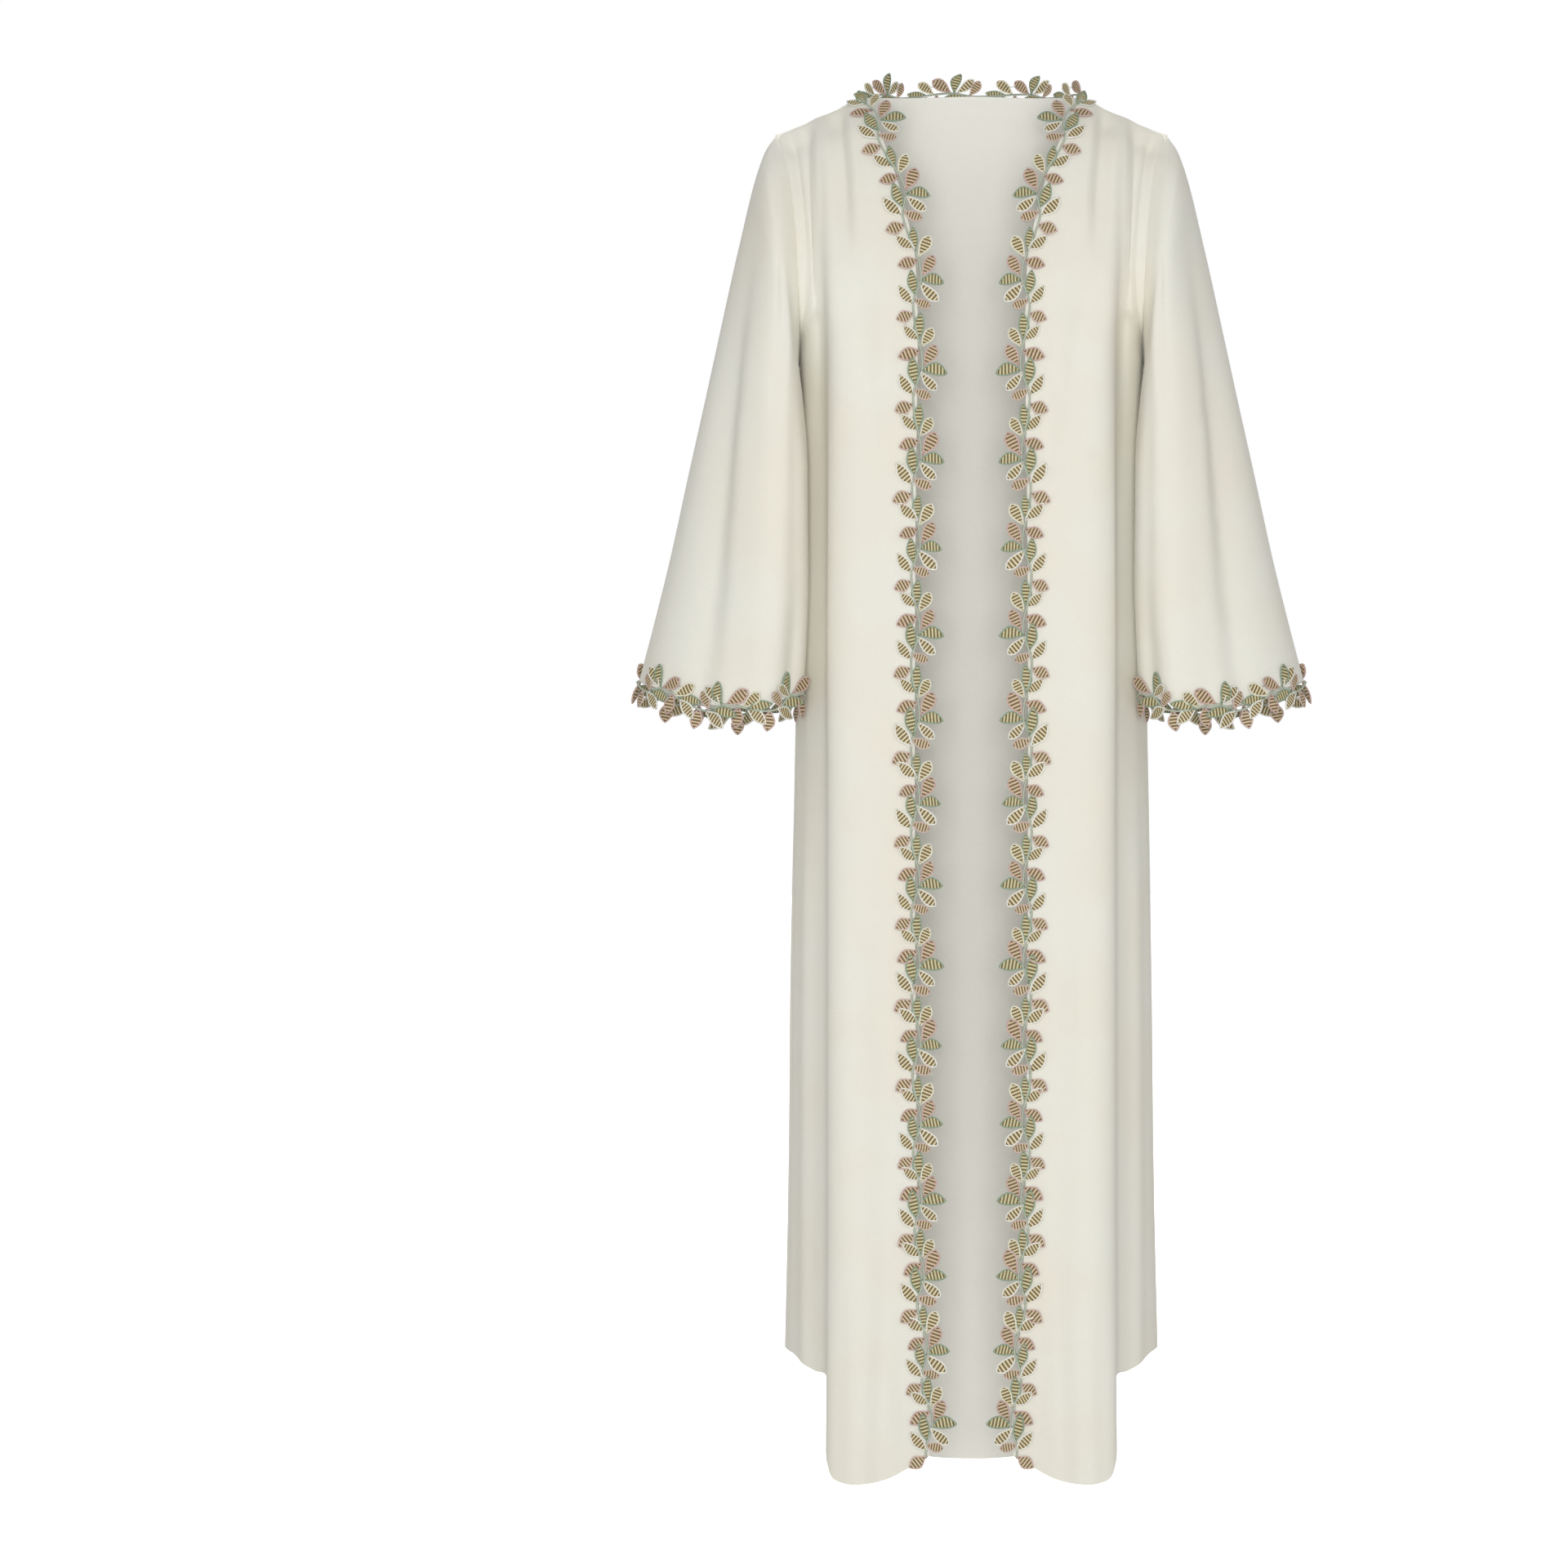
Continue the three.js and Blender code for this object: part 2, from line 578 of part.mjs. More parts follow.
const cuffColumns = [...Array(around + 1).keys()].map((j) => downwards(sleeve, j % around)).reverse();
add("trim_neck", laceOn(neckColumns.map((j) => downwards(back, j)), NECK_LACE), lace);
addPair("trim_front_%s", laceOn(ROWS.map((_, i) => across(front, i)), FRONT_LACE), lace);
addPair("trim_cuff_%s_back", laceOn(cuffColumns.slice(0, around - underarmRow + 1), CUFF_LACE), lace);
addPair("trim_cuff_%s_front", laceOn(cuffColumns.slice(around - underarmRow), CUFF_LACE), lace);

export default dress;
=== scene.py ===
"""An open-front maxi dress in cream crepe, with leaf lace down its fronts, round its neck and its cuffs.

The dress keeps the hollow form that it has when worn. Each cloth piece is a thin shell on a surface
through named sections, with soft folds pressed into it. The lace is made of small stitched leaves, set
along a vine. Sizes are in millimetres until a mesh is made, and metres from there on. +X is the wearer's
left, +Y the back and +Z up.
"""

from __future__ import annotations

import logging
import math
from collections.abc import Iterable, Sequence
from dataclasses import dataclass, field
from enum import Enum

import bpy
import numpy as np
from mathutils import Matrix, Vector

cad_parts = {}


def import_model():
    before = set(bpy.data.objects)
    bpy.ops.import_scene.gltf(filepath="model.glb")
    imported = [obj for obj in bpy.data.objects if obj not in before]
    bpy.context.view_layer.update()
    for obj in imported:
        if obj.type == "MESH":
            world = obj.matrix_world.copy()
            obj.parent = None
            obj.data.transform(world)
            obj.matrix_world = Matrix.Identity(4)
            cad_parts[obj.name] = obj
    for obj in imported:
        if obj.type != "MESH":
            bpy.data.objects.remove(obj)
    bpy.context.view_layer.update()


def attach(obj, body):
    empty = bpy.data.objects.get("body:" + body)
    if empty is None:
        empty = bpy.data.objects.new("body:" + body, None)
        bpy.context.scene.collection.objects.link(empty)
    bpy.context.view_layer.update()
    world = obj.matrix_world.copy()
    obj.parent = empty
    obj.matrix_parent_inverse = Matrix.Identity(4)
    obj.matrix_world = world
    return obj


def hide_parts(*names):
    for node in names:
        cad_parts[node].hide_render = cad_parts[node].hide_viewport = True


log = logging.getLogger("dress")

MM = 0.001
BODY = "root"

# The cut of the dress

NECK_HALF = 115.0
NECK_RISE = 12.0
SHOULDER_REACH = 201.0
SHOULDER_BACK = 8.0
SHOULDER_DROP = 37.0
BACK_SETTLES = 0.15
NECK_SETTLES = 0.07
NECK_FULLNESS = 0.55
FOLD_INWARDS = 0.5
FOLD_BACKWARDS = 0.85
UNDERARM = 6
NECK_STATION = 3
MEASURED_SECTION = 9.0

# Seams: how deep and wide their groove is, and how near to them the folds fade out

SEAM_GROOVE = 1.4
SEAM_REACH = 1.5
SEAM_SHARES = (0.2, 0.42, 0.68)
SEAM_CLEAR = 9.0
NECK_CLEAR = 7.0
ARMHOLE_CLEAR = 14.0
ARMHOLE_REACH = 3.0
SHOULDER_HOLD = 0.1
SHOULDER_FADE = 30.0
SHOULDER_FOLLOW = 45.0

# How the front's turn to the side, and the turn at the underarm, are softened

TURN_STATION = 3.5
TURN_SPREAD = 1.1
TURN_EASE = 0.5
TURN_PASSES = 30
UNDERARM_EASE = 0.5
UNDERARM_SPREAD = 42.0
UNDERARM_CLEAR = 12.0
UNDERARM_PASSES = 60

# How the cloth is turned up at a hem, and the lengths of the waves that crimp it

HEM_STEP = 1.5
CRIMP_WAVES = (4.1, 9.7, 6.3)

# How many points into the cloth the lace can read, from each kind of edge

FRONT_RIB = 18
NECK_RIB = 17
CUFF_RIB = 15


@dataclass(frozen=True)
class Section:
    """Half widths and depths of the body at one height, from the shoulder (fall 0) to the hem (fall 1)."""

    fall: float
    edge: float
    roll: float
    trough: float
    side: float
    front: float
    arm_front: float
    arm_back: float
    back: float
    dip: float
    back_dip: float


SECTIONS = (
    Section(0.0, 115, 150, 160, 201, 0, 8, 8, 75, 0, 0),
    Section(0.012, 104, 149, 160, 196, 22, -4, 18, 80, 2, 0),
    Section(0.03, 93, 148, 159, 189, 45, -22, 36, 87, 4, 0),
    Section(0.07, 74, 145, 157, 182, 73, -44, 55, 98, 7, 0),
    Section(0.12, 58, 143, 156, 178, 93, -56, 68, 108, 9, 1),
    Section(0.155, 55, 143, 154, 176, 100, -44, 56, 112, 9, 2),
    Section(0.187, 54, 143, 153, 176, 104, 8, 8, 114, 9, 3),
    Section(0.3, 56, 145, 149, 176, 104, 10, 10, 112, 7, 5),
    Section(0.42, 57, 147, 146, 179, 101, 10, 10, 112, 4, 7),
    Section(0.55, 57, 147, 145, 182, 100, 10, 10, 118, 2, 9),
    Section(0.7, 56, 147, 144, 185, 103, 11, 11, 125, 0, 11),
    Section(0.85, 53, 147, 144, 187, 107, 12, 12, 132, 0, 13),
    Section(1.0, 42, 149, 143, 191, 112, 14, 14, 140, 0, 15),
)


@dataclass(frozen=True)
class FrontStation:
    """A place across a front panel: its share of the way between two lines, its depth, and its hem."""

    start: str
    end: str
    span: float
    depth: float
    dip: float
    hem: float


FRONT_STATIONS = (
    FrontStation("edge", "roll", 0, 0.02, 0, 1381),
    FrontStation("edge", "roll", 0.4, 0, 0, 1404),
    FrontStation("edge", "roll", 0.78, 0.03, 0, 1410),
    FrontStation("edge", "roll", 1, 0.16, 0, 1393),
    FrontStation("trough", "side", 0, 0.4, 1, 1314),
    FrontStation("trough", "side", 0.4, 0.62, 0, 1303),
    FrontStation("trough", "side", 1, 1, 0, 1286),
)


@dataclass(frozen=True)
class BackStation:
    """A place across half of the back: shares of the half width at the top and lower down, and its hem."""

    top: float
    low: float
    depth: float
    dip: float
    hem: float


BACK_STATIONS = (
    BackStation(1, 1, 0, 0, 1286),
    BackStation(0.86, 0.97, 0.42, 0, 1298),
    BackStation(0.716, 0.84, 0.78, 0, 1313),
    BackStation(NECK_HALF / SHOULDER_REACH, 0.62, 0.95, 1, 1372),
    BackStation(0.308, 0.36, 1, 0, 1410),
    BackStation(0, 0, 1, 0, 1418),
)


@dataclass(frozen=True)
class Ring:
    """A ring of a sleeve: its outer and inner line, half its depth, its lean forward and its droop."""

    out: tuple[float, float, float]
    inner: tuple[float, float, float]
    half: float
    swing: float
    droop: float


SLEEVE_RINGS = (
    Ring((217, 4, -67), (179, 0, -288), 71, -9, 0),
    Ring((239, 0, -155), (174, -22, -318), 72, -12, 0),
    Ring((262, -4, -258), (168, -38, -362), 70, -8, 2),
    Ring((285, -6, -366), (167, -45, -430), 66, -8, 6),
    Ring((305, -6, -462), (166, -48, -500), 64, -8, 11),
    Ring((324, -6, -540), (168, -48, -562), 64, -8, 16),
    Ring((340, -4, -600), (171, -46, -614), 66, -8, 20),
)
CUFF = len(SLEEVE_RINGS)


@dataclass(frozen=True)
class SleeveFold:
    """A long fold of a sleeve, from a ring and an angle down to the cuff.

    Its angles and its spread are in degrees, round from the outer line.
    """

    ring: float
    angle: float
    cuff_angle: float
    depth: float
    spread: float


SLEEVE_FOLDS = (
    SleeveFold(1.5, 38, 92, 11, 24),
    SleeveFold(4, 145, 140, 6, 20),
    SleeveFold(3, 250, 262, 9, 26),
    SleeveFold(4, 308, 305, 4, 20),
)


@dataclass(frozen=True)
class Crease:
    """A soft fold pressed into a panel, on a chart of millimetres across and down it.

    start and end are its ends, width is half its breadth, depth is how far it sinks, or rises below zero,
    and bow is how far its middle lies aside. ridge is how high the cloth rises beside it, on the side of
    the opening, or of the body on a sleeve, and lip is its breadth on that side as a share of the other.
    fade_in and fade_out are the shares of its length over which it starts and ends.
    """

    start: tuple[float, float]
    end: tuple[float, float]
    width: float
    depth: float
    bow: float = 0.0
    ridge: float = 0.0
    fade_in: float = 0.3
    fade_out: float = 0.3
    lip: float = 1.0


RIDGE_OFFSET = 1.8

# The chart of a front panel is the distance from the middle of the body, and the height.
FRONT_CREASES = (
    Crease((173, -6), (158, -290), 19, 10.0, -2, 1.8, 0.0, 0.45, 0.45),
    Crease((140, 2), (126, -190), 16, 8.5, 3, 2.0, 0.0, 0.5, 0.45),
    Crease((188, -30), (178, -190), 4, 3.4, 2, 1.6, 0.0, 0.4),
    Crease((158, -130), (156, -420), 10, 3.6, 0, 1.6, 0.3, 0.5),
    Crease((168, -150), (168, -760), 7, -4.0, 1, 0, 0.2, 0.4),
    Crease((166, -640), (170, -1310), 7, -3.5, -1, 0, 0.3, 0.0),
    Crease((119, -160), (79, -470), 13, 3.2, -3, 1.4, 0.3, 0.4),
    Crease((98, -420), (90, -900), 15, 1.7, 3, 0.6),
    Crease((116, -760), (110, -1290), 14, 2.4, 4, 1.0),
    Crease((98, -1130), (112, -1420), 12, 4.0, -3, 2.0, 0.6, 0.0),
    Crease((74, -1240), (66, -1420), 10, 2.4, 2, 1.2, 0.6, 0.0),
    Crease((130, -1180), (134, -1420), 9, 2.0, 1, 1.0, 0.6, 0.0),
    Crease((70, -250), (94, -330), 8, 1.5, 3),
    Crease((64, -610), (98, -690), 9, 1.2, 4),
    Crease((64, -372), (86, -392), 6, 1.3, 1),
    Crease((64, -860), (92, -905), 7, 1.1, 2),
    Crease((62, -1030), (84, -1050), 6, 1.2, 1),
)

# The chart of the back is the distance from its middle, wearer's left or right, and the height.
BACK_CREASES = (
    Crease((60, -20), (78, -420), 14, 3.4, 6, 1.6, 0.2, 0.5),
    Crease((-66, -30), (-72, -360), 13, 3.0, -5, 1.4, 0.2, 0.5),
    Crease((150, -60), (128, -300), 11, 4.4, -6, 2.0, 0.2, 0.5),
    Crease((-150, -70), (-132, -330), 11, 4.0, 6, 1.8, 0.2, 0.5),
    Crease((112, -330), (120, -1390), 16, 7.0, 5, 3.4, 0.4, 0.0),
    Crease((-114, -380), (-122, -1390), 16, 6.4, -6, 3.0, 0.4, 0.0),
    Crease((84, -520), (82, -1400), 14, -3.2, 3, 0, 0.4, 0.0),
    Crease((-86, -600), (-90, -1400), 15, -3.0, -3, 0, 0.4, 0.0),
    Crease((160, -620), (158, -1310), 11, 4.4, 3, 1.8, 0.4, 0.0),
    Crease((-160, -700), (-160, -1310), 11, 4.0, -2, 1.6, 0.4, 0.0),
    Crease((24, -760), (36, -1400), 20, 2.4, 6, 1.2, 0.5, 0.1),
    Crease((-30, -900), (-38, -1400), 18, 2.0, -5, 1.0, 0.5, 0.1),
)

# The chart of a sleeve is the angle round from its outer line over the front, and the distance down it.
SLEEVE_CREASES = (
    Crease((32, 80), (74, 610), 25, 8.0, 3, 2.2, 0.4, 0.0, 0.48),
    Crease((10, 16), (72, 24), 7, 2.6, 0, 0, 0.2, 0.3),
    Crease((84, 20), (100, 190), 8, 2.6, 5, 1.6, 0.2, 0.6),
    Crease((128, 90), (140, 330), 12, 2.4, 4, 1.2, 0.3, 0.5),
    Crease((148, 230), (154, 580), 14, 6.5, 2, 0.5, 0.35, 0.15),
    Crease((22, 140), (40, 600), 16, 1.4, 3, 0.8, 0.4, 0.0),
    Crease((230, 60), (235, 420), 12, 4.0, -6, 2.2, 0.3, 0.5),
    Crease((290, 50), (280, 360), 12, 3.4, 6, 2.0, 0.3, 0.5),
    Crease((330, 260), (335, 600), 11, 3.0, 3, 1.6, 0.5, 0.0),
    Crease((205, 330), (215, 600), 12, -3.0, 3, 0, 0.5, 0.0),
)


class Thread(Enum):
    """The threads of a leaf, in sRGB: the cord round it, then the stitches inside."""

    CREAM = ((255, 253, 244), (228, 216, 172))
    MAUVE = ((226, 200, 190), (224, 202, 166))
    SAGE = ((150, 172, 148), (212, 208, 158))
    KHAKI = ((250, 246, 224), (226, 214, 168))
    ROSE = ((216, 186, 178), (220, 194, 160))


class LeafKind(Enum):
    """A shape of leaf: where it is widest along its length, how round its tip is, and its sideways curl."""

    LONG = (0.52, 0.95, 0.04)
    ROUND_TIP = (0.64, 1.5, -0.03)
    BROAD = (0.55, 0.8, 0.0)
    MOON = (0.56, 1.1, 0.14)


@dataclass(frozen=True)
class Leaf:
    """A leaf of one repeat: where it leaves the vine, its heading, its size, and its kind and thread.

    A heading of 0 points straight off the cloth's edge, and 90 back up the vine.
    """

    along: float
    across: float
    heading: float
    length: float
    width: float
    kind: LeafKind
    thread: Thread


REPEAT = 96.0
VINE = (
    (0.0, -4.6),
    (12.0, 0.6),
    (22.0, 4.2),
    (34.0, 3.9),
    (46.0, 2.6),
    (62.0, -0.9),
    (76.0, -4.0),
    (88.0, -5.0),
)
LEAVES = (
    Leaf(0, -4.6, -20, 25, 11.5, LeafKind.MOON, Thread.SAGE),
    Leaf(2, -4.0, -53, 26, 10, LeafKind.ROUND_TIP, Thread.CREAM),
    Leaf(14, 1.4, 98, 28, 10, LeafKind.LONG, Thread.SAGE),
    Leaf(23, 4.2, 122, 27, 11, LeafKind.LONG, Thread.CREAM),
    Leaf(33, 3.8, 185, 20, 13, LeafKind.BROAD, Thread.MAUVE),
    Leaf(62, -0.7, 131, 24, 10.5, LeafKind.LONG, Thread.CREAM),
    Leaf(74, -3.2, 182, 22, 12.5, LeafKind.BROAD, Thread.ROSE),
    Leaf(92, -4.8, 53, 25, 12, LeafKind.ROUND_TIP, Thread.ROSE),
    Leaf(18, 2.8, -36, 20, 9.5, LeafKind.ROUND_TIP, Thread.MAUVE),
    Leaf(64, -1.2, 86, 27, 9.5, LeafKind.LONG, Thread.SAGE),
    Leaf(71, -2.6, 52, 23, 10.5, LeafKind.ROUND_TIP, Thread.KHAKI),
)
# Leaves, by their place in LEAVES, whose sides a thin bar of thread joins.
BARS = ((1, 8), (10, 7), (3, 4), (5, 6), (4, 5))


@dataclass(frozen=True)
class LacePattern:
    """How a length of lace repeats along an edge.

    start is where its first repeat begins, and first and last are the repeats' length as a share of the
    plain one. leaf and sway are the size of the leaves and how far the vine swings, as shares of the plain
    ones. fans is -1 where the fans lie on the cloth. shift moves the vine into the cloth, and lift off it.
    spill is how far leaves may pass the edge's first and last end.
    """

    start: float
    repeats: int
    first: float
    last: float
    leaf: float
    sway: float
    fans: int
    shift: float
    lift: float
    spill: tuple[float, float] = (0.0, 0.0)


FRONT_LACE = LacePattern(-46, 18, 1, 0.75, 1, 1, 1, 0, 1.3, (13, 3))
NECK_LACE = LacePattern(-34, 5, 0.85, 0.85, 0.88, 0.4, 1, -1.5, 1.4, (7, 7))
CUFF_LACE = LacePattern(-48, 4, 0.8, 0.8, 1, 1, -1, -3, 1.5)

# Curves and surfaces through knots


def knot_weights(count: int, places: Iterable[float], corners: Sequence[int] = ()) -> np.ndarray:
    """Weights of a smooth curve's knots at some places along it.

    Args:
        count: How many knots the curve goes through. One more at each end only steers it.
        places: Where to read the curve, in knots from its first.
        corners: The knots at which the curve turns a sharp corner.

    Returns:
        A row for each place, with a weight for each knot and both steering ones.
    """
    rows = []
    for place in places:
        i = int(min(max(math.floor(place), 0), count - 2))
        f = place - i
        a = 0.5 * (-f + 2 * f * f - f * f * f)
        b = 0.5 * (2 - 5 * f * f + 3 * f * f * f)
        c = 0.5 * (f + 4 * f * f - 3 * f * f * f)
        d = 0.5 * (-f * f + f * f * f)
        if i in corners:
            a, b, c = 0.0, b + 2 * a, c - a
        if i + 1 in corners:
            b, c, d = b - d, c + 2 * d, 0.0
        row = np.zeros(count + 2)
        row[i : i + 4] = (a, b, c, d)
        rows.append(row)
    return np.array(rows)


def lofted(rows: np.ndarray, down: Iterable[float]) -> np.ndarray:
    """Points of the smooth curves down through these rows of points, at these places."""
    steered = np.concatenate([2 * rows[:1] - rows[1:2], rows, 2 * rows[-1:] - rows[-2:-1]])
    return np.einsum("vr,ruc->vuc", knot_weights(len(rows), down), steered)


class Surface:
    """A cloth surface through a net of knots."""

    def __init__(self, rows: Sequence[np.ndarray], corners: Sequence[int] = ()) -> None:
        """Keep the net.

        Args:
            rows: The knots of each row, with a steering knot at each end.
            corners: The knots at which the first row turns a sharp corner.
        """
        self.rows = [np.asarray(row, float) for row in rows]
        self.corners = corners

    def grid(self, across: Iterable[float], down: Iterable[float]) -> np.ndarray:
        """Points of the surface, by row and column, at these places across and down it."""
        places = list(across)
        curves = np.array(
            [
                knot_weights(len(row) - 2, places, self.corners if i == 0 else ()) @ row
                for i, row in enumerate(self.rows)
            ]
        )
        return lofted(curves, down)


def mix(a: float, b: float, share: float) -> float:
    """The value this share of the way from a to b."""
    return a + (b - a) * share


def smoothstep(value: np.ndarray | float, low: float, high: float) -> np.ndarray | float:
    """A soft step from 0 at low to 1 at high."""
    t = np.clip((value - low) / (high - low), 0, 1)
    return t * t * (3 - 2 * t)


def top_height(x: float) -> float:
    """Height of the back neckline or the shoulder seam at this distance from the middle."""
    if x < NECK_HALF:
        return NECK_RISE * (1 - (x / NECK_HALF) ** 2)
    return -SHOULDER_DROP * (x - NECK_HALF) / (SHOULDER_REACH - NECK_HALF)


def top_depth(x: float, back: float) -> float:
    """How far back the neckline or the shoulder seam lies at this distance from the middle."""
    if x < NECK_HALF:
        return back * (1 - (x / NECK_HALF) ** 2) ** NECK_FULLNESS
    return SHOULDER_BACK * (x - NECK_HALF) / (SHOULDER_REACH - NECK_HALF)


def front_x(section: Section, station: FrontStation) -> float:
    """How far from the middle a place across the front lies, in this section."""
    return mix(getattr(section, station.start), getattr(section, station.end), station.span)


def front_knot(section: Section, station: FrontStation) -> np.ndarray:
    """A knot of the front panel."""
    dip = section.dip * station.dip
    x = front_x(section, station) - FOLD_INWARDS * dip
    top_x = front_x(SECTIONS[0], station)
    if section.fall == 0:
        return np.array([top_x, top_depth(top_x, 0), top_height(top_x)])
    y = mix(-section.front, section.arm_front, station.depth) + FOLD_BACKWARDS * dip
    return np.array([x, y, mix(top_height(top_x), -station.hem, section.fall)])


def back_knot(section: Section, station: BackStation) -> np.ndarray:
    """A knot of the left half of the back."""
    settled = smoothstep(section.fall, 0, BACK_SETTLES)
    top_x = SHOULDER_REACH * station.top
    low_y = mix(section.arm_back, section.back, station.depth) - section.back_dip * station.dip
    y = mix(top_depth(top_x, section.back), low_y, smoothstep(section.fall, 0, NECK_SETTLES))
    z = mix(top_height(top_x), -station.hem, section.fall)
    return np.array([section.side * mix(station.top, station.low, settled), y, z])


def mirrored(points: np.ndarray) -> np.ndarray:
    """The same points on the wearer's other side."""
    return points * np.array([-1.0, 1.0, 1.0])


def body_surfaces() -> tuple[Surface, Surface]:
    """The surfaces of the left front panel and of the whole back."""
    fronts = [[front_knot(section, station) for station in FRONT_STATIONS] for section in SECTIONS]
    backs = [[back_knot(section, station) for station in BACK_STATIONS] for section in SECTIONS]
    front_rows = []
    back_rows = []
    for i, (front, back) in enumerate(zip(fronts, backs)):
        armhole = i < UNDERARM
        front_steer = 2 * front[-1] - front[-2] if armhole else back[1]
        back_steer = 2 * back[0] - back[1] if armhole else front[-2]
        other = [mirrored(p) for p in reversed(back[:-1])]
        front_rows.append(np.array([2 * front[0] - front[1], *front, front_steer]))
        back_rows.append(np.array([back_steer, *back, *other, mirrored(back_steer)]))
    middle = len(BACK_STATIONS) - 1
    return Surface(front_rows), Surface(back_rows, (NECK_STATION, 2 * middle - NECK_STATION))


def spaced(knots: Sequence[float], lengths: Sequence[float], step: float) -> list[float]:
    """Places between knots, so that neighbours lie about one step apart.

    Args:
        knots: The knots' own places.
        lengths: The distance from each knot to the next.
        step: The distance wanted between places.

    Returns:
        The places, with every knot among them.
    """
    places = [float(knots[0])]
    for a, b, length in zip(knots, knots[1:], lengths):
        count = max(1, round(length / step))
        places.extend(a + (b - a) * k / count for k in range(1, count + 1))
    return places


def run_along(grid: np.ndarray, axis: int) -> np.ndarray:
    """How far along its row (axis 1) or down its column (axis 0) each point of a grid lies."""
    steps = np.linalg.norm(np.diff(grid, axis=axis), axis=2)
    pad = [(0, 0), (0, 0)]
    pad[axis] = (1, 0)
    return np.cumsum(np.pad(steps, pad), axis=axis)


def with_seams(places: list[float], first: bool = True, last: bool = True) -> list[float]:
    """The same places, with closer ones next to the first and the last, where a seam is pressed in."""
    extra = []
    for wanted, edge, inner in ((first, places[0], places[1]), (last, places[-1], places[-2])):
        if wanted:
            extra += [mix(edge, inner, share) for share in SEAM_SHARES]
    return sorted([*places, *extra])


def steps_between(points: np.ndarray) -> np.ndarray:
    """Distances between the neighbours of a line of points."""
    return np.linalg.norm(np.diff(points, axis=0), axis=1)


def run_of(points: np.ndarray) -> np.ndarray:
    """How far along a line of points each of them lies."""
    return np.concatenate([[0.0], np.cumsum(steps_between(points))])


def span_at(sums: np.ndarray, distance: float) -> tuple[int, float]:
    """The span of a line that a distance falls in, and the share of the way along it."""
    i = int(np.clip(np.searchsorted(sums, distance, "right") - 1, 0, len(sums) - 2))
    return i, (distance - sums[i]) / (sums[i + 1] - sums[i])


def seam_groove(distance: np.ndarray) -> np.ndarray:
    """How far the cloth sinks at a distance from a seam."""
    return SEAM_GROOVE * np.exp(-((distance / SEAM_REACH) ** 2))


def grid_normals(grid: np.ndarray, closed: bool) -> np.ndarray:
    """Unit normals of a grid, on the side that its rows going down and its columns to the right give."""
    if closed:
        across = np.roll(grid, -1, axis=1) - np.roll(grid, 1, axis=1)
    else:
        across = np.gradient(grid, axis=1)
    normals = np.cross(np.gradient(grid, axis=0), across)
    return normals / np.maximum(np.linalg.norm(normals, axis=2, keepdims=True), 1e-9)


def pressed(chart: np.ndarray, creases: Sequence[Crease], turn: float = 0.0) -> np.ndarray:
    """How far the creases sink each point of a chart.

    Args:
        chart: The points' places on the chart, with the two numbers last.
        creases: The creases, on the same chart.
        turn: After how far the first number starts again, or 0.

    Returns:
        The depth at each point, in millimetres.
    """
    depth = np.zeros(chart.shape[:-1])
    for crease in creases:
        start = np.array(crease.start)
        run = np.array(crease.end) - start
        length = float(np.linalg.norm(run))
        away = chart - start
        if turn:
            away[..., 0] = (away[..., 0] + turn / 2) % turn - turn / 2
        s = (away @ run) / length**2
        aside = (away[..., 0] * run[1] - away[..., 1] * run[0]) / length
        aside = aside - crease.bow * 4 * np.clip(s, 0, 1) * (1 - np.clip(s, 0, 1))
        ends = np.ones_like(s)
        if crease.fade_in:
            ends = ends * smoothstep(s, 0, crease.fade_in)
        if crease.fade_out:
            ends = ends * (1 - smoothstep(s, 1 - crease.fade_out, 1))
        reach = aside / np.where(aside > 0, crease.width * crease.lip, crease.width)
        rise = crease.ridge * np.exp(-((reach - RIDGE_OFFSET) ** 2)) * (aside > 0)
        depth += ends * (crease.depth * np.exp(-reach * reach) - rise)
    return depth


# Meshes


def linked(name: str, data: bpy.types.ID) -> bpy.types.Object:
    """An object in the scene with this mesh, camera or light."""
    obj = bpy.data.objects.new(name, data)
    bpy.context.scene.collection.objects.link(obj)
    return obj


def mesh_object(name: str, points: np.ndarray, faces: Sequence[Sequence[int]]) -> bpy.types.Object:
    """A mesh object at the origin.

    Args:
        name: Its name.
        points: Its vertices, in millimetres.
        faces: The vertices of each face.

    Returns:
        The object, in the scene, with its mesh in metres.
    """
    mesh = bpy.data.meshes.new(name)
    mesh.from_pydata((np.asarray(points) * MM).tolist(), [], [list(f) for f in faces])
    mesh.update()
    return linked(name, mesh)


def smooth(obj: bpy.types.Object, sharp_angle: float = 55.0) -> None:
    """Shade a mesh smooth, but for the edges that turn more than this many degrees."""
    obj.data.shade_smooth()
    obj.data.set_sharp_from_angle(angle=math.radians(sharp_angle))


def other_side(obj: bpy.types.Object, name: str) -> bpy.types.Object:
    """A copy of an object on the wearer's other side, with its faces still pointing out."""
    mesh = obj.data.copy()
    mesh.transform(Matrix.Scale(-1, 4, (1, 0, 0)))
    mesh.flip_normals()
    mesh.name = name
    return linked(name, mesh)


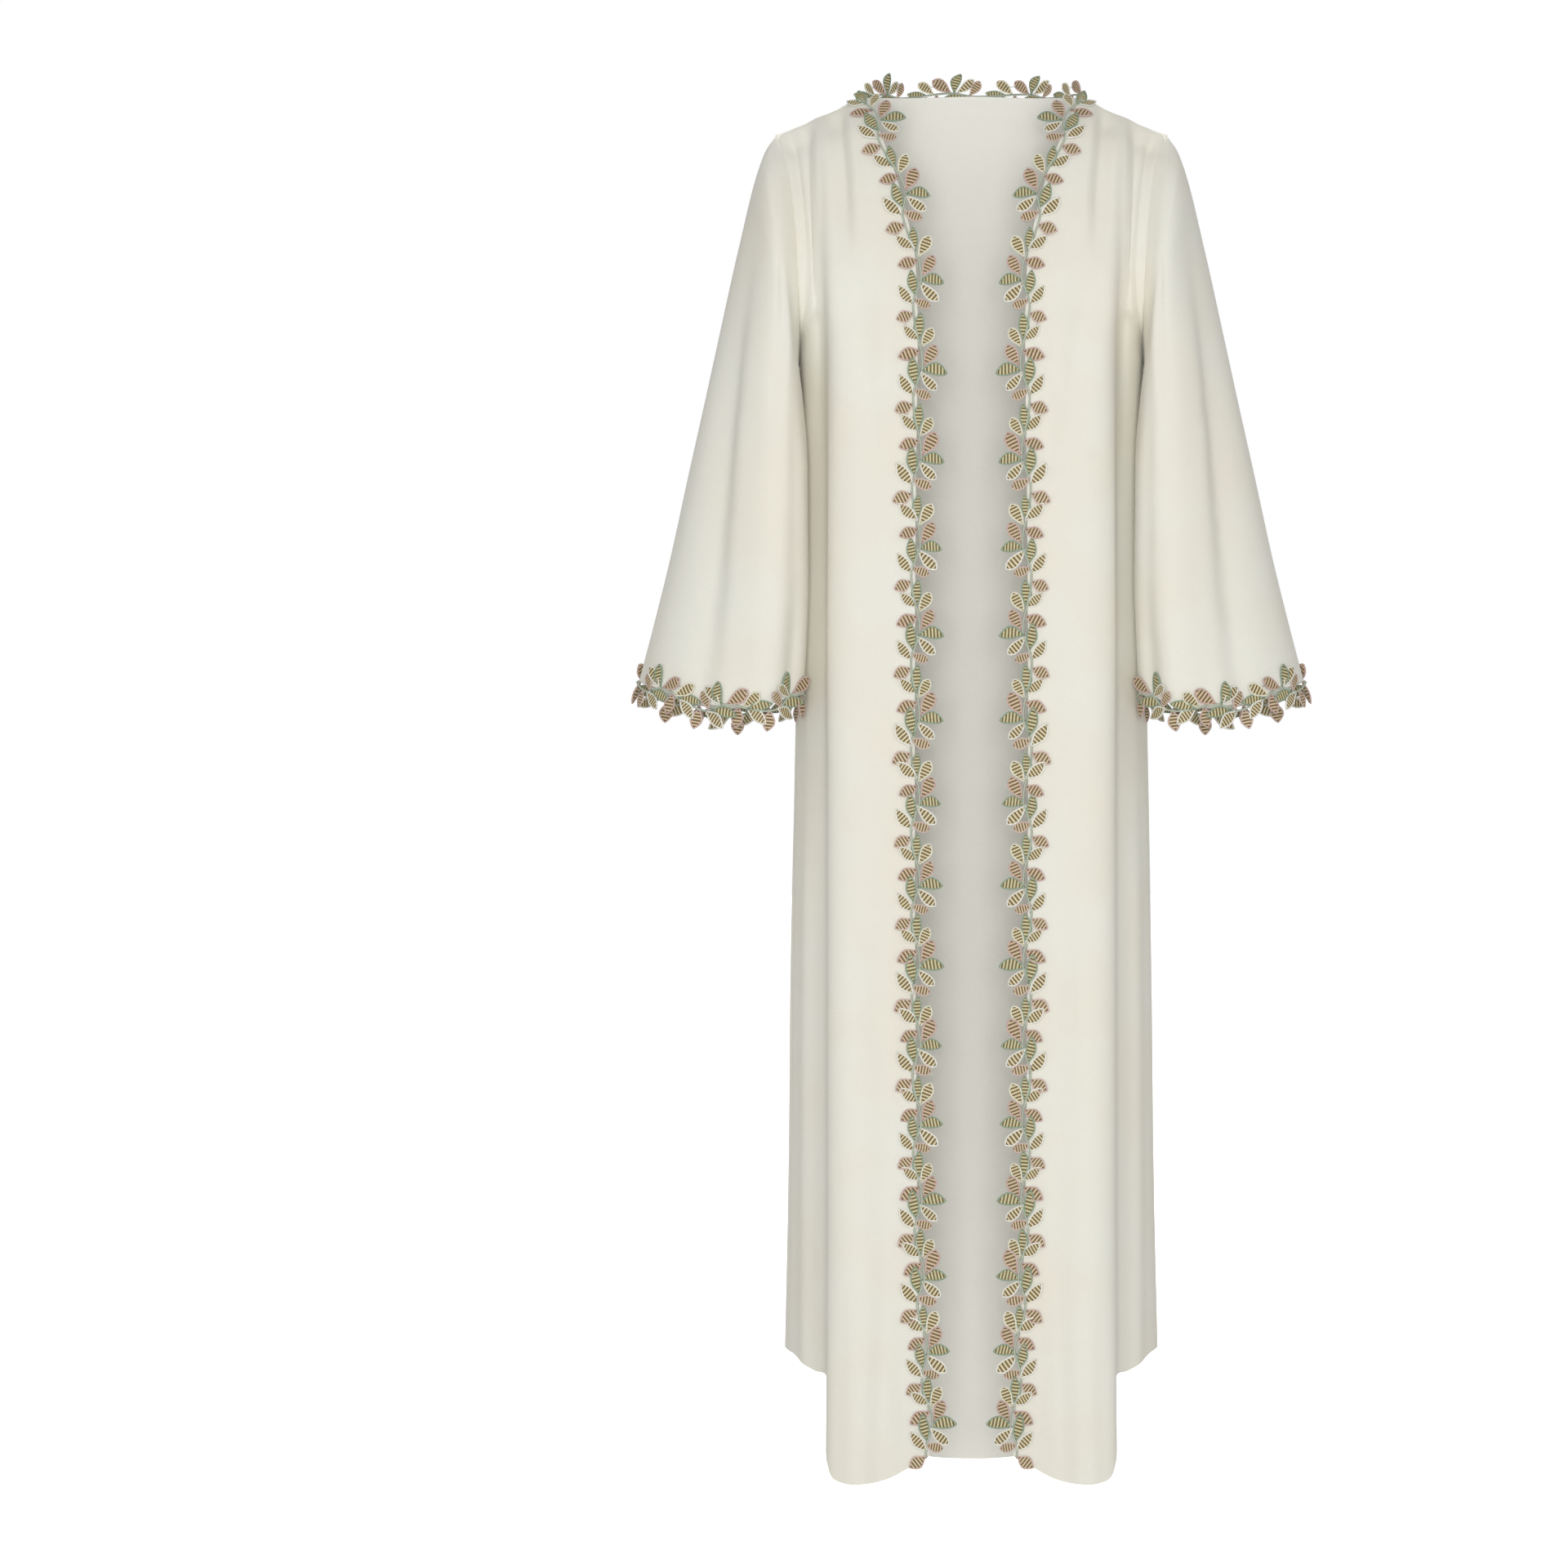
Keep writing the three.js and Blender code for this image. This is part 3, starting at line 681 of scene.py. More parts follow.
def shell_faces(rows: int, columns: int, closed: bool) -> list[tuple[int, int, int, int]]:
    """Faces of a thin shell between two grids, the outer one first.

    Args:
        rows: Rows in each grid.
        columns: Columns in each grid.
        closed: Whether the columns close into a tube.

    Returns:
        The faces, which point out where the outer grid's rows go down and its columns to the right.
    """

    def at(layer: int, i: int, j: int) -> int:
        return (layer * rows + i) * columns + j % columns

    spans = columns if closed else columns - 1
    faces = []
    for i in range(rows - 1):
        for j in range(spans):
            faces.append((at(0, i, j), at(0, i + 1, j), at(0, i + 1, j + 1), at(0, i, j + 1)))
            faces.append((at(1, i, j), at(1, i, j + 1), at(1, i + 1, j + 1), at(1, i + 1, j)))
    low = rows - 1
    for j in range(spans):
        faces.append((at(0, 0, j), at(0, 0, j + 1), at(1, 0, j + 1), at(1, 0, j)))
        faces.append((at(0, low, j), at(1, low, j), at(1, low, j + 1), at(0, low, j + 1)))
    if not closed:
        last = columns - 1
        for i in range(rows - 1):
            faces.append((at(0, i, 0), at(1, i, 0), at(1, i + 1, 0), at(0, i + 1, 0)))
            faces.append((at(0, i, last), at(0, i + 1, last), at(1, i + 1, last), at(1, i, last)))
    return faces


@dataclass
class Panel:
    """A piece of cloth: the grid of its outer face, and what its edges are like.

    hems names the edges that are turned up, out of top, bottom, first and last column, and seams those that
    are sewn to a neighbour.
    """

    name: str
    node: str
    grid: np.ndarray
    closed: bool = False
    hems: tuple[str, ...] = ()
    seams: tuple[str, ...] = ()
    cloth: float = 0.9
    hem_cloth: float = 1.7
    hem_depth: float = 13.0
    pucker: float = 0.0
    normals: np.ndarray = field(init=False)

    def __post_init__(self) -> None:
        """Sink the seams, then find the normals."""
        normals = self.outward(self.grid)
        sink = np.zeros(self.grid.shape[:2])
        for edge in self.seams:
            sink = np.maximum(sink, seam_groove(self.edge_distance(edge)))
        self.grid = self.grid - normals * sink[..., None]
        self.normals = self.outward(self.grid)

    def outward(self, grid: np.ndarray) -> np.ndarray:
        """Unit normals that point out of the garment."""
        normals = grid_normals(grid, self.closed)
        return -normals if self.closed else normals

    def edge_distance(self, edge: str) -> np.ndarray:
        """How far each point of the grid lies from an edge, along the cloth."""
        axis = 0 if edge in ("top", "bottom") else 1
        total = run_along(self.grid, axis)
        if edge in ("top", "first"):
            return total
        return total.max(axis=axis, keepdims=True) - total

    def thickness(self) -> np.ndarray:
        """Thickness of the cloth at each point, which is doubled where a hem is turned up."""
        hem = np.zeros(self.grid.shape[:2])
        for edge in self.hems:
            away = self.edge_distance(edge)
            hem = np.maximum(hem, 1 - smoothstep(away, self.hem_depth - HEM_STEP, self.hem_depth))
        along = run_along(self.grid, 1)
        one, two, three = (along / length for length in CRIMP_WAVES)
        waves = np.sin(one) * np.sin(two + 1.0) + 0.6 * np.sin(three + 2.0)
        crimps = self.pucker * waves * smoothstep(self.edge_distance("top"), 2.0, 6.0)
        return self.cloth + (self.hem_cloth - self.cloth + crimps) * hem

    def build(self) -> bpy.types.Object:
        """The panel as a thin closed shell."""
        inner = self.grid - self.normals * self.thickness()[..., None]
        rows, columns = self.grid.shape[:2]
        layers = (inner, self.grid) if self.closed else (self.grid, inner)
        points = np.concatenate([layer.reshape(-1, 3) for layer in layers])
        obj = mesh_object(self.name, points, shell_faces(rows, columns, self.closed))
        inside = np.repeat([float(layer is inner) for layer in layers], rows * columns)
        # The crepe paints this inner face paler, as painted light.
        add_values(obj.data, "inside", inside)
        smooth(obj)
        return obj

    def flat_size(self) -> tuple[float, float]:
        """Greatest width and length of the cloth when it is spread flat, in metres."""
        across = np.linalg.norm(np.diff(self.grid, axis=1), axis=2).sum(axis=1)
        if self.closed:
            across = across + np.linalg.norm(self.grid[:, 0] - self.grid[:, -1], axis=1)
        down = np.linalg.norm(np.diff(self.grid, axis=0), axis=2).sum(axis=0)
        return float(across.max()) * MM, float(down.max()) * MM

    def flat_area(self) -> float:
        """Area of the cloth, in square metres."""
        ring = np.concatenate([self.grid, self.grid[:, :1]], axis=1) if self.closed else self.grid
        one = np.cross(ring[1:, 1:] - ring[:-1, :-1], ring[1:, :-1] - ring[:-1, 1:])
        return float(np.linalg.norm(one, axis=2).sum()) / 2 * MM * MM


# Shader nodes


class Field:
    """A node's output, with Python's operators making Math nodes."""

    def __init__(self, shader: Shader, socket: bpy.types.NodeSocket) -> None:
        """Keep the shader that the socket belongs to."""
        self.shader = shader
        self.socket = socket

    def math(self, operation: str, *values: Field | float) -> Field:
        """A Math node on this value and others."""
        return self.shader.node("ShaderNodeMath", {"operation": operation}, self, *values)

    def __add__(self, other: Field | float) -> Field:
        """The sum."""
        return self.math("ADD", other)

    def __sub__(self, other: Field | float) -> Field:
        """The difference."""
        return self.math("SUBTRACT", other)

    def __mul__(self, other: Field | float) -> Field:
        """The product."""
        return self.math("MULTIPLY", other)

    def __rsub__(self, other: float) -> Field:
        """A number less this value."""
        return self.shader.node("ShaderNodeMath", {"operation": "SUBTRACT"}, other, self)

    def sine(self) -> Field:
        """The sine."""
        return self.math("SINE")

    def step(self, low: float, high: float) -> Field:
        """A soft step from 0 at low to 1 at high."""
        settings = {"interpolation_type": "SMOOTHSTEP"}
        return self.shader.node("ShaderNodeMapRange", settings, self, low, high, 0.0, 1.0)


class Shader:
    """A material under construction."""

    def __init__(self, name: str) -> None:
        """Make an empty material.

        Args:
            name: The material's name.
        """
        self.material = bpy.data.materials.new(name)
        self.material.use_nodes = True
        self.tree = self.material.node_tree
        self.tree.nodes.clear()

    def node(
        self, kind: str, settings: dict[str, object], *values: object, out: int | str = 0, **named: object
    ) -> Field:
        """Add a node.

        Args:
            kind: The node's type.
            settings: Its properties, which are set first.
            values: Values or links for its first sockets, in order.
            out: Which output to return.
            named: Values or links for sockets by name, with _ for a space.

        Returns:
            The chosen output.
        """
        node = self.tree.nodes.new(kind)
        for key, value in settings.items():
            setattr(node, key, value)
        for socket, value in zip([s for s in node.inputs if s.enabled], values):
            self.feed(socket, value)
        for key, value in named.items():
            self.feed(node.inputs[key.replace("_", " ")], value)
        if isinstance(out, str):
            return Field(self, node.outputs[out])
        return Field(self, [s for s in node.outputs if s.enabled][out])

    def feed(self, socket: bpy.types.NodeSocket, value: object) -> None:
        """Give a socket a value or a link."""
        if isinstance(value, Field):
            self.tree.links.new(value.socket, socket)
        else:
            socket.default_value = value

    def blend(self, share: Field | float, a: object, b: object) -> Field:
        """A colour this share of the way from a to b."""
        node = self.tree.nodes.new("ShaderNodeMix")
        node.data_type = "RGBA"
        self.feed(node.inputs[0], share)
        self.feed(node.inputs[6], a)
        self.feed(node.inputs[7], b)
        return Field(self, node.outputs[2])

    def object_place(self) -> Field:
        """The object's own coordinates, in metres."""
        return self.node("ShaderNodeTexCoord", {}, out="Object")

    def finish(self, shaded: Field) -> None:
        """Give the material this shader."""
        out = self.tree.nodes.new("ShaderNodeOutputMaterial")
        self.tree.links.new(shaded.socket, out.inputs["Surface"])

    def surface(
        self, colour: Field, roughness: Field, height: Field, depth: float, **fixed: object
    ) -> None:
        """Finish the material with a Principled shader.

        Args:
            colour: The base colour.
            roughness: The roughness.
            height: The relief, from 0 to 1.
            depth: How deep the relief is, in metres.
            fixed: Numbers for other sockets, by name with _ for a space.
        """
        normal = self.node("ShaderNodeBump", {}, Strength=1.0, Distance=depth, Height=height)
        shaded = self.node(
            "ShaderNodeBsdfPrincipled", {}, Base_Color=colour, Roughness=roughness, Normal=normal, **fixed
        )
        self.finish(shaded)


def linear(rgb: tuple[float, float, float]) -> tuple[float, float, float, float]:
    """A colour in sRGB, from 0 to 255, as linear light."""
    channels = [c / 255 for c in rgb]
    return (*(c / 12.92 if c <= 0.04045 else ((c + 0.055) / 1.055) ** 2.4 for c in channels), 1.0)


@dataclass(frozen=True)
class Crepe:
    """Cream crepe: fine pebbled grain with painted shade in its pits, faint crossing yarns, and painted
    light on its paler inner face.
    """

    colour: tuple[float, float, float] = (233, 232, 222)
    warm: tuple[float, float, float] = (232, 228, 215)
    # painted light: the paler colour that the inner face is painted, to lift the shade inside the dress
    painted_inside_light: tuple[float, float, float] = (245, 244, 237)
    # painted shade: the dark colour that the grain's pits are painted
    pit_shade: tuple[float, float, float] = (196, 186, 164)
    grain: float = 1500.0
    clouds: float = 9.0
    slubs: float = 70.0
    yarns: float = 1900.0
    relief: float = 0.00012

    def material(self) -> bpy.types.Material:
        """The material, which reads the object's own coordinates."""
        shader = Shader("crepe")
        place = shader.object_place()
        grain = shader.node("ShaderNodeTexNoise", {}, Vector=place, Scale=self.grain, Detail=3.0)
        cloud = shader.node("ShaderNodeTexNoise", {}, Vector=place, Scale=self.clouds, Detail=2.0)
        slub = shader.node(
            "ShaderNodeTexNoise",
            {},
            Vector=shader.node("ShaderNodeVectorMath", {"operation": "MULTIPLY"}, place, (1.0, 1.0, 14.0)),
            Scale=self.slubs,
            Detail=2.0,
        )
        level = shader.node("ShaderNodeSeparateXYZ", {}, place, out="Z")
        weft = (level * (self.yarns * math.pi)).sine() * 0.5 + 0.5
        height = grain * 0.7 + weft * 0.18 + slub * 0.12
        colour = shader.blend(cloud.step(0.3, 0.7), linear(self.colour), linear(self.warm))
        inside = shader.node("ShaderNodeAttribute", {"attribute_name": "inside"}, out="Fac")
        # Painted light: the inner face is painted paler, to lift the shade inside the dress.
        colour = shader.blend(inside, colour, linear(self.painted_inside_light))
        # Painted shade: the grain's low points are darkened a little, as shade in its pits.
        colour = shader.blend((grain.step(0.35, 0.62) * -1.0 + 1.0) * 0.10, colour, linear(self.pit_shade))
        roughness = slub * 0.12 + 0.7
        shader.surface(colour, roughness, height, self.relief, Sheen_Weight=0.18, Sheen_Roughness=0.45)
        return shader.material


@dataclass(frozen=True)
class LaceThread:
    """Embroidery thread: a twisted cord round each leaf, and rows of stitches across its inside with painted
    shade in the gaps between them.
    """

    # painted shade: the dark colour of the gaps between the stitch rows
    gap_shade: tuple[float, float, float] = (112, 92, 62)
    shade: tuple[float, float, float] = (150, 138, 112)
    row: float = 3.3
    slant: float = 0.45
    pitch: float = 1.1
    strands: float = 6.0
    relief: float = 0.0005

    def material(self) -> bpy.types.Material:
        """The material, which reads each leaf's own map: millimetres along it, and 1 across."""
        shader = Shader("leaf lace")
        chart = shader.node("ShaderNodeUVMap", {"uv_map": "thread"})
        across = shader.node("ShaderNodeSeparateXYZ", {}, chart, out="X")
        along = shader.node("ShaderNodeSeparateXYZ", {}, chart, out="Y")
        tint = shader.node("ShaderNodeAttribute", {"attribute_name": "tint"}, out="Color")
        fill = shader.node("ShaderNodeAttribute", {"attribute_name": "fill"}, out="Color")
        cord = shader.node("ShaderNodeAttribute", {"attribute_name": "cord"}, out="Fac")
        place = shader.object_place()
        speck = shader.node("ShaderNodeTexNoise", {}, Vector=place, Scale=1300.0, Detail=2.0)
        wave = ((along + across * self.slant) * (2 * math.pi / self.row)).sine() * 0.5 + 0.5
        stitches = (wave + (speck - 0.5) * 0.4).step(0.3, 0.6)
        bright = shader.blend(speck.step(0.62, 0.38) * 0.35, fill, linear(self.shade))
        # Painted shade: between the stitch rows the inside takes the dark gap colour, for the shade seen
        # through the open lace.
        inside = shader.blend(stitches, linear(self.gap_shade), bright)
        twist = ((along + across * self.strands) * (2 * math.pi / self.pitch)).sine() * 0.5 + 0.5
        thread = shader.blend(twist * 0.16, tint, linear(self.shade))
        colour = shader.blend(cord, inside, thread)
        height = stitches * (1.0 - cord) + twist * cord * 0.35 + speck * 0.15
        shader.surface(colour, speck * 0.2 + 0.55, height, self.relief, Sheen_Weight=0.1)
        return shader.material


@dataclass(frozen=True)
class Paper:
    """Plain white studio paper, which the camera sees lit from behind as well."""

    colour: tuple[float, float, float] = (226, 225, 222)
    flecks: tuple[float, float, float] = (214, 213, 210)
    glow: float = 0.95

    def material(self) -> bpy.types.Material:
        """The material."""
        shader = Shader("studio paper")
        speck = shader.node("ShaderNodeTexNoise", {}, Vector=shader.object_place(), Scale=3.0)
        colour = shader.blend(speck * 0.05, linear(self.colour), linear(self.flecks))
        paper = {"Base_Color": colour, "Roughness": speck * 0.05 + 0.85}
        white = (1.0, 1.0, 1.0, 1.0)
        plain = shader.node("ShaderNodeBsdfPrincipled", {}, **paper)
        glowing = shader.node(
            "ShaderNodeBsdfPrincipled", {}, Emission_Color=white, Emission_Strength=self.glow, **paper
        )
        seen = shader.node("ShaderNodeLightPath", {}, out="Is Camera Ray")
        mixed = shader.node("ShaderNodeMixShader", {}, seen, plain, glowing)
        shader.finish(mixed)
        return shader.material


# Geometry Nodes


class NodeTree:
    """A geometry node tree with named inputs."""

    def __init__(self, name: str, inputs: dict[str, str]) -> None:
        """Make the tree with its group input and output.

        Args:
            name: The tree's name.
            inputs: The type of socket for each named input after the geometry.
        """
        self.tree = bpy.data.node_groups.new(name, "GeometryNodeTree")
        self.tree.interface.new_socket("Geometry", in_out="INPUT", socket_type="NodeSocketGeometry")
        self.tree.interface.new_socket("Geometry", in_out="OUTPUT", socket_type="NodeSocketGeometry")
        self.keys = {
            key: self.tree.interface.new_socket(key, in_out="INPUT", socket_type=kind).identifier
            for key, kind in inputs.items()
        }
        self.source = self.tree.nodes.new("NodeGroupInput")
        self.sink = self.tree.nodes.new("NodeGroupOutput")

    def add(self, kind: str, settings: dict[str, object] | None = None, **links: object) -> bpy.types.Node:
        """Add a node, with values or sockets for its inputs by name."""
        node = self.tree.nodes.new(kind)
        for key, value in (settings or {}).items():
            setattr(node, key, value)
        for key, value in links.items():
            socket = node.inputs[key.replace("_", " ")]
            if isinstance(value, bpy.types.NodeSocket):
                self.tree.links.new(value, socket)
            else:
                socket.default_value = value
        return node

    def finish(self, geometry: bpy.types.NodeSocket) -> None:
        """Realize the instances, set the material and give the result."""
        real = self.add("GeometryNodeRealizeInstances", Geometry=geometry)
        dressed = self.add(
            "GeometryNodeSetMaterial", Geometry=real.outputs[0], Material=self.source.outputs["Material"]
        )
        self.tree.links.new(dressed.outputs[0], self.sink.inputs[0])

    def run(self, base: bpy.types.Object, name: str, values: dict[str, object]) -> bpy.types.Object:
        """Run the tree on an object and keep the result as a plain mesh.

        Args:
            base: The object that it runs on, which is removed.
            name: The result's name.
            values: A value for each named input.

        Returns:
            The new object.
        """
        modifier = base.modifiers.new("build", "NODES")
        modifier.node_group = self.tree
        for key, value in values.items():
            modifier[self.keys[key]] = value
        bpy.context.view_layer.update()
        graph = bpy.context.evaluated_depsgraph_get()
        mesh = bpy.data.meshes.new_from_object(base.evaluated_get(graph), depsgraph=graph)
        mesh.name = name
        bpy.data.objects.remove(base)
        return linked(name, mesh)


def leaf_tree() -> NodeTree:
    """Leaves set on points, each with the point's turn, size and tint."""
    tree = NodeTree("leaves", {"Leaf": "NodeSocketObject", "Material": "NodeSocketMaterial"})
    shape = tree.source.outputs["Leaf"]
    leaf = tree.add("GeometryNodeObjectInfo", {"transform_space": "ORIGINAL"}, Object=shape)
    turn = tree.add("GeometryNodeInputNamedAttribute", {"data_type": "FLOAT_VECTOR"}, Name="turn")
    size = tree.add("GeometryNodeInputNamedAttribute", {"data_type": "FLOAT_VECTOR"}, Name="size")
    angle = tree.add("FunctionNodeEulerToRotation", Euler=turn.outputs[0])
    points = tree.add("GeometryNodeMeshToPoints", Mesh=tree.source.outputs["Geometry"])
    placed = tree.add(
        "GeometryNodeInstanceOnPoints",
        Points=points.outputs[0],
        Instance=leaf.outputs["Geometry"],
        Rotation=angle.outputs[0],
        Scale=size.outputs[0],
    )
    tree.finish(placed.outputs[0])
    return tree


def cord_tree() -> NodeTree:
    """A round cord along each line of edges, which keeps how far along its line each point lies."""
    inputs = {"Radius": "NodeSocketFloat", "Sides": "NodeSocketInt", "Material": "NodeSocketMaterial"}
    tree = NodeTree("cord", inputs)
    curve = tree.add("GeometryNodeMeshToCurve", Mesh=tree.source.outputs["Geometry"])
    round_section = tree.add(
        "GeometryNodeCurvePrimitiveCircle",
        Resolution=tree.source.outputs["Sides"],
        Radius=tree.source.outputs["Radius"],
    )
    along = tree.add("GeometryNodeSplineParameter")
    kept = tree.add(
        "GeometryNodeStoreNamedAttribute",
        {"data_type": "FLOAT", "domain": "POINT"},
        Geometry=curve.outputs[0],
        Name="run",
        Value=along.outputs["Length"],
    )
    tube = tree.add(
        "GeometryNodeCurveToMesh",
        Curve=kept.outputs[0],
        Profile_Curve=round_section.outputs[0],
        Fill_Caps=True,
    )
    tree.finish(tube.outputs[0])
    return tree


# The lace


def leaf_half_width(kind: LeafKind, share: float) -> float:
    """Half width of a leaf at a share of its length, where its greatest half width is 1."""
    widest, blunt, _ = kind.value
    if share < widest:
        return math.sin(math.pi / 2 * share / widest) ** 1.35
    return max(0.0, math.cos(math.pi / 2 * ((share - widest) / (1 - widest)) ** blunt)) ** 0.8


class LeafShape:
    """A stitched leaf that lies along +Y from its root at the origin, with its face to +Z."""

    SHARP_ANGLE = 110.0
    STATIONS = 7
    INSIDE = (0.1, 0.97)
    OUTLINE = (0.0, 0.16, 0.32, 0.48, 0.64, 0.8, 0.93)
    CORD_SIDES = 4
    CORD = 0.95
    CORD_HEIGHT = 0.75
    DOME = 0.5

    def __init__(self, kind: LeafKind, length: float, width: float) -> None:
        """Make a leaf at its real size.

        Args:
            kind: The leaf's shape.
            length: Its length, in millimetres.
            width: Its greatest width, in millimetres.
        """
        self.kind = kind
        self.length = length
        self.width = width
        self.points: list[tuple[float, float, float]] = []
        self.faces: list[tuple[int, ...]] = []
        self.maps: list[tuple[float, float]] = []
        self.cords: list[float] = []

    def spine(self, share: float) -> tuple[float, float]:
        """Where the middle of the leaf is at a share of its length."""
        curl = self.kind.value[2] * self.length
        return curl * math.sin(math.pi * share), self.length * share

    def edge(self, share: float, side: int) -> tuple[float, float]:
        """Where one edge of the leaf is at a share of its length."""
        x, y = self.spine(share)
        return x + side * self.width / 2 * leaf_half_width(self.kind, share), y

    def vertex(self, point: tuple[float, float, float], chart: tuple[float, float], cord: float) -> int:
        """Add a vertex with its map and whether it belongs to the cord."""
        self.points.append(point)
        self.maps.append(chart)
        self.cords.append(cord)
        return len(self.points) - 1

    def inside(self) -> None:
        """The stitched inside: a low ridge with a flat back."""
        rows = []
        for i in range(self.STATIONS + 1):
            share = mix(*self.INSIDE, i / self.STATIONS)
            left, right, middle = self.edge(share, -1), self.edge(share, 1), self.spine(share)
            rows.append(
                (
                    self.vertex((left[0], left[1], 0.0), (-1.0, middle[1]), 0.0),
                    self.vertex((middle[0], middle[1], self.DOME), (0.0, middle[1]), 0.0),
                    self.vertex((right[0], right[1], 0.0), (1.0, middle[1]), 0.0),
                    self.vertex((middle[0], middle[1], -self.DOME / 2), (0.0, middle[1]), 0.0),
                )
            )
        for (a, b, c, d), (e, f, g, h) in zip(rows, rows[1:]):
            self.faces += [(a, b, f, e), (b, c, g, f), (c, d, h, g), (d, a, e, h)]
        self.faces += [tuple(reversed(rows[0])), rows[-1]]

    def outline(self) -> None:
        """The cord round the leaf, from its root up one edge, round the tip and back."""
        up = [self.edge(s, -1) for s in self.OUTLINE]
        line = [*up, self.edge(1.0, 1), *(self.edge(s, 1) for s in reversed(self.OUTLINE))]
        path = [Vector((x, y, 0.0)) for x, y in line]
        rings = []
        run = 0.0
        for i, point in enumerate(path):
            ahead = path[min(i + 1, len(path) - 1)] - path[max(i - 1, 0)]
            aside = Vector((ahead.y, -ahead.x, 0.0)).normalized()
            run += (point - path[i - 1]).length if i else 0.0
            ring = []
            for k in range(self.CORD_SIDES):
                angle = math.pi / 4 + 2 * math.pi * k / self.CORD_SIDES
                rise = Vector((0, 0, self.CORD_HEIGHT * math.sin(angle)))
                place = point + aside * (self.CORD * math.cos(angle)) + rise
                ring.append(self.vertex(tuple(place), (k / self.CORD_SIDES, run), 1.0))
            rings.append(ring)
        for one, two in zip(rings, rings[1:]):
            for k in range(self.CORD_SIDES):
                after = (k + 1) % self.CORD_SIDES
                self.faces.append((one[k], one[after], two[after], two[k]))
        self.faces += [tuple(reversed(rings[0])), tuple(rings[-1])]

    def build(self, name: str) -> bpy.types.Object:
        """The leaf as an object, for the node tree to set on points."""
        self.inside()
        self.outline()
        obj = mesh_object(name, np.array(self.points), self.faces)
        smooth(obj, self.SHARP_ANGLE)
        add_map(obj.data, self.maps)
        add_values(obj.data, "cord", self.cords)
        return obj


def add_map(mesh: bpy.types.Mesh, maps: Sequence[tuple[float, float]]) -> None:
    """Give a mesh the map that its thread reads, one pair for each vertex."""
    layer = mesh.uv_layers.new(name="thread")
    corners = np.empty(len(mesh.loops), dtype=np.int32)
    mesh.loops.foreach_get("vertex_index", corners)
    layer.uv.foreach_set("vector", np.asarray(maps, dtype=np.float32)[corners].ravel())


VALUE_KEYS = {"FLOAT": "value", "FLOAT_VECTOR": "vector", "FLOAT_COLOR": "color"}


def add_values(mesh: bpy.types.Mesh, name: str, values: Sequence[float], kind: str = "FLOAT") -> None:
    """Give a mesh a named number, vector or colour for each vertex."""
    layer = mesh.attributes.new(name, kind, "POINT")
    layer.data.foreach_set(VALUE_KEYS[kind], np.asarray(values, np.float32).ravel())


@dataclass(frozen=True)
class Rib:
    """A line across the cloth from an edge, with its normals and its points' distances from the edge."""

    points: np.ndarray
    normals: np.ndarray
    sums: np.ndarray

    @classmethod
    def along(cls, points: np.ndarray, normals: np.ndarray) -> Rib:
        """A rib through these points, the first of which lies on the edge."""
        return cls(points, normals, run_of(points))

    def at(self, distance: float) -> tuple[np.ndarray, np.ndarray]:
        """The point and the normal at a distance into the cloth, which is carried on flat past its edge."""
        i, share = span_at(self.sums, distance)
        point = self.points[i] + (self.points[i + 1] - self.points[i]) * share
        normal = self.normals[i] + (self.normals[i + 1] - self.normals[i]) * np.clip(share, 0, 1)
        return point, normal


class LaceEdge:
    """An edge of the cloth that lace is sewn to."""

    def __init__(self, points: np.ndarray, normals: np.ndarray) -> None:
        """Take the ribs of an edge.

        Args:
            points: Points by rib and by place along it, starting at the edge.
            normals: Their outward normals.
        """
        self.ribs = [Rib.along(p, n) for p, n in zip(points, normals)]
        self.sums = run_of(points[:, 0])
        self.length = float(self.sums[-1])

    def at(self, along: float, across: float, lift: float) -> tuple[np.ndarray, np.ndarray]:
        """A point off the cloth, and the normal there."""
        i, share = span_at(self.sums, along)
        one, two = self.ribs[i].at(across), self.ribs[i + 1].at(across)
        normal = one[1] + (two[1] - one[1]) * np.clip(share, 0, 1)
        normal = normal / np.linalg.norm(normal)
        return one[0] + (two[0] - one[0]) * share + normal * lift, normal

    def turned(self, along: float, across: float, heading: tuple[float, float], tilt: float) -> Matrix:
        """How a leaf is turned so that it lies on the cloth with its tip along a heading.

        Args:
            along: Where it is along the edge.
            across: Where it is into the cloth.
            heading: Its direction, as millimetres along and across.
            tilt: How far its tip rises, in degrees.

        Returns:
            The turn as a matrix.
        """
        here, normal = self.at(along, across, 0.0)
        there, _ = self.at(along + 2 * heading[0], across + 2 * heading[1], 0.0)
        up = Vector(normal)
        forward = Vector(there - here)
        forward = (forward - up * forward.dot(up)).normalized()
        beside = forward.cross(up)
        turn = Matrix((beside, forward, up)).transposed()
        return turn @ Matrix.Rotation(math.radians(tilt), 3, "X")


@dataclass(frozen=True)
class PlacedLeaf:
    """A leaf of the pattern at its place on the edge, with its direction as along and across."""

    leaf: Leaf
    root: tuple[float, float]
    forward: tuple[float, float]
    number: int

    def point(self, reach: float, out: float) -> tuple[float, float]:
        """A place on the leaf, as along and across the edge."""
        x, y = self.forward
        return self.root[0] + x * reach - y * out, self.root[1] + y * reach + x * out


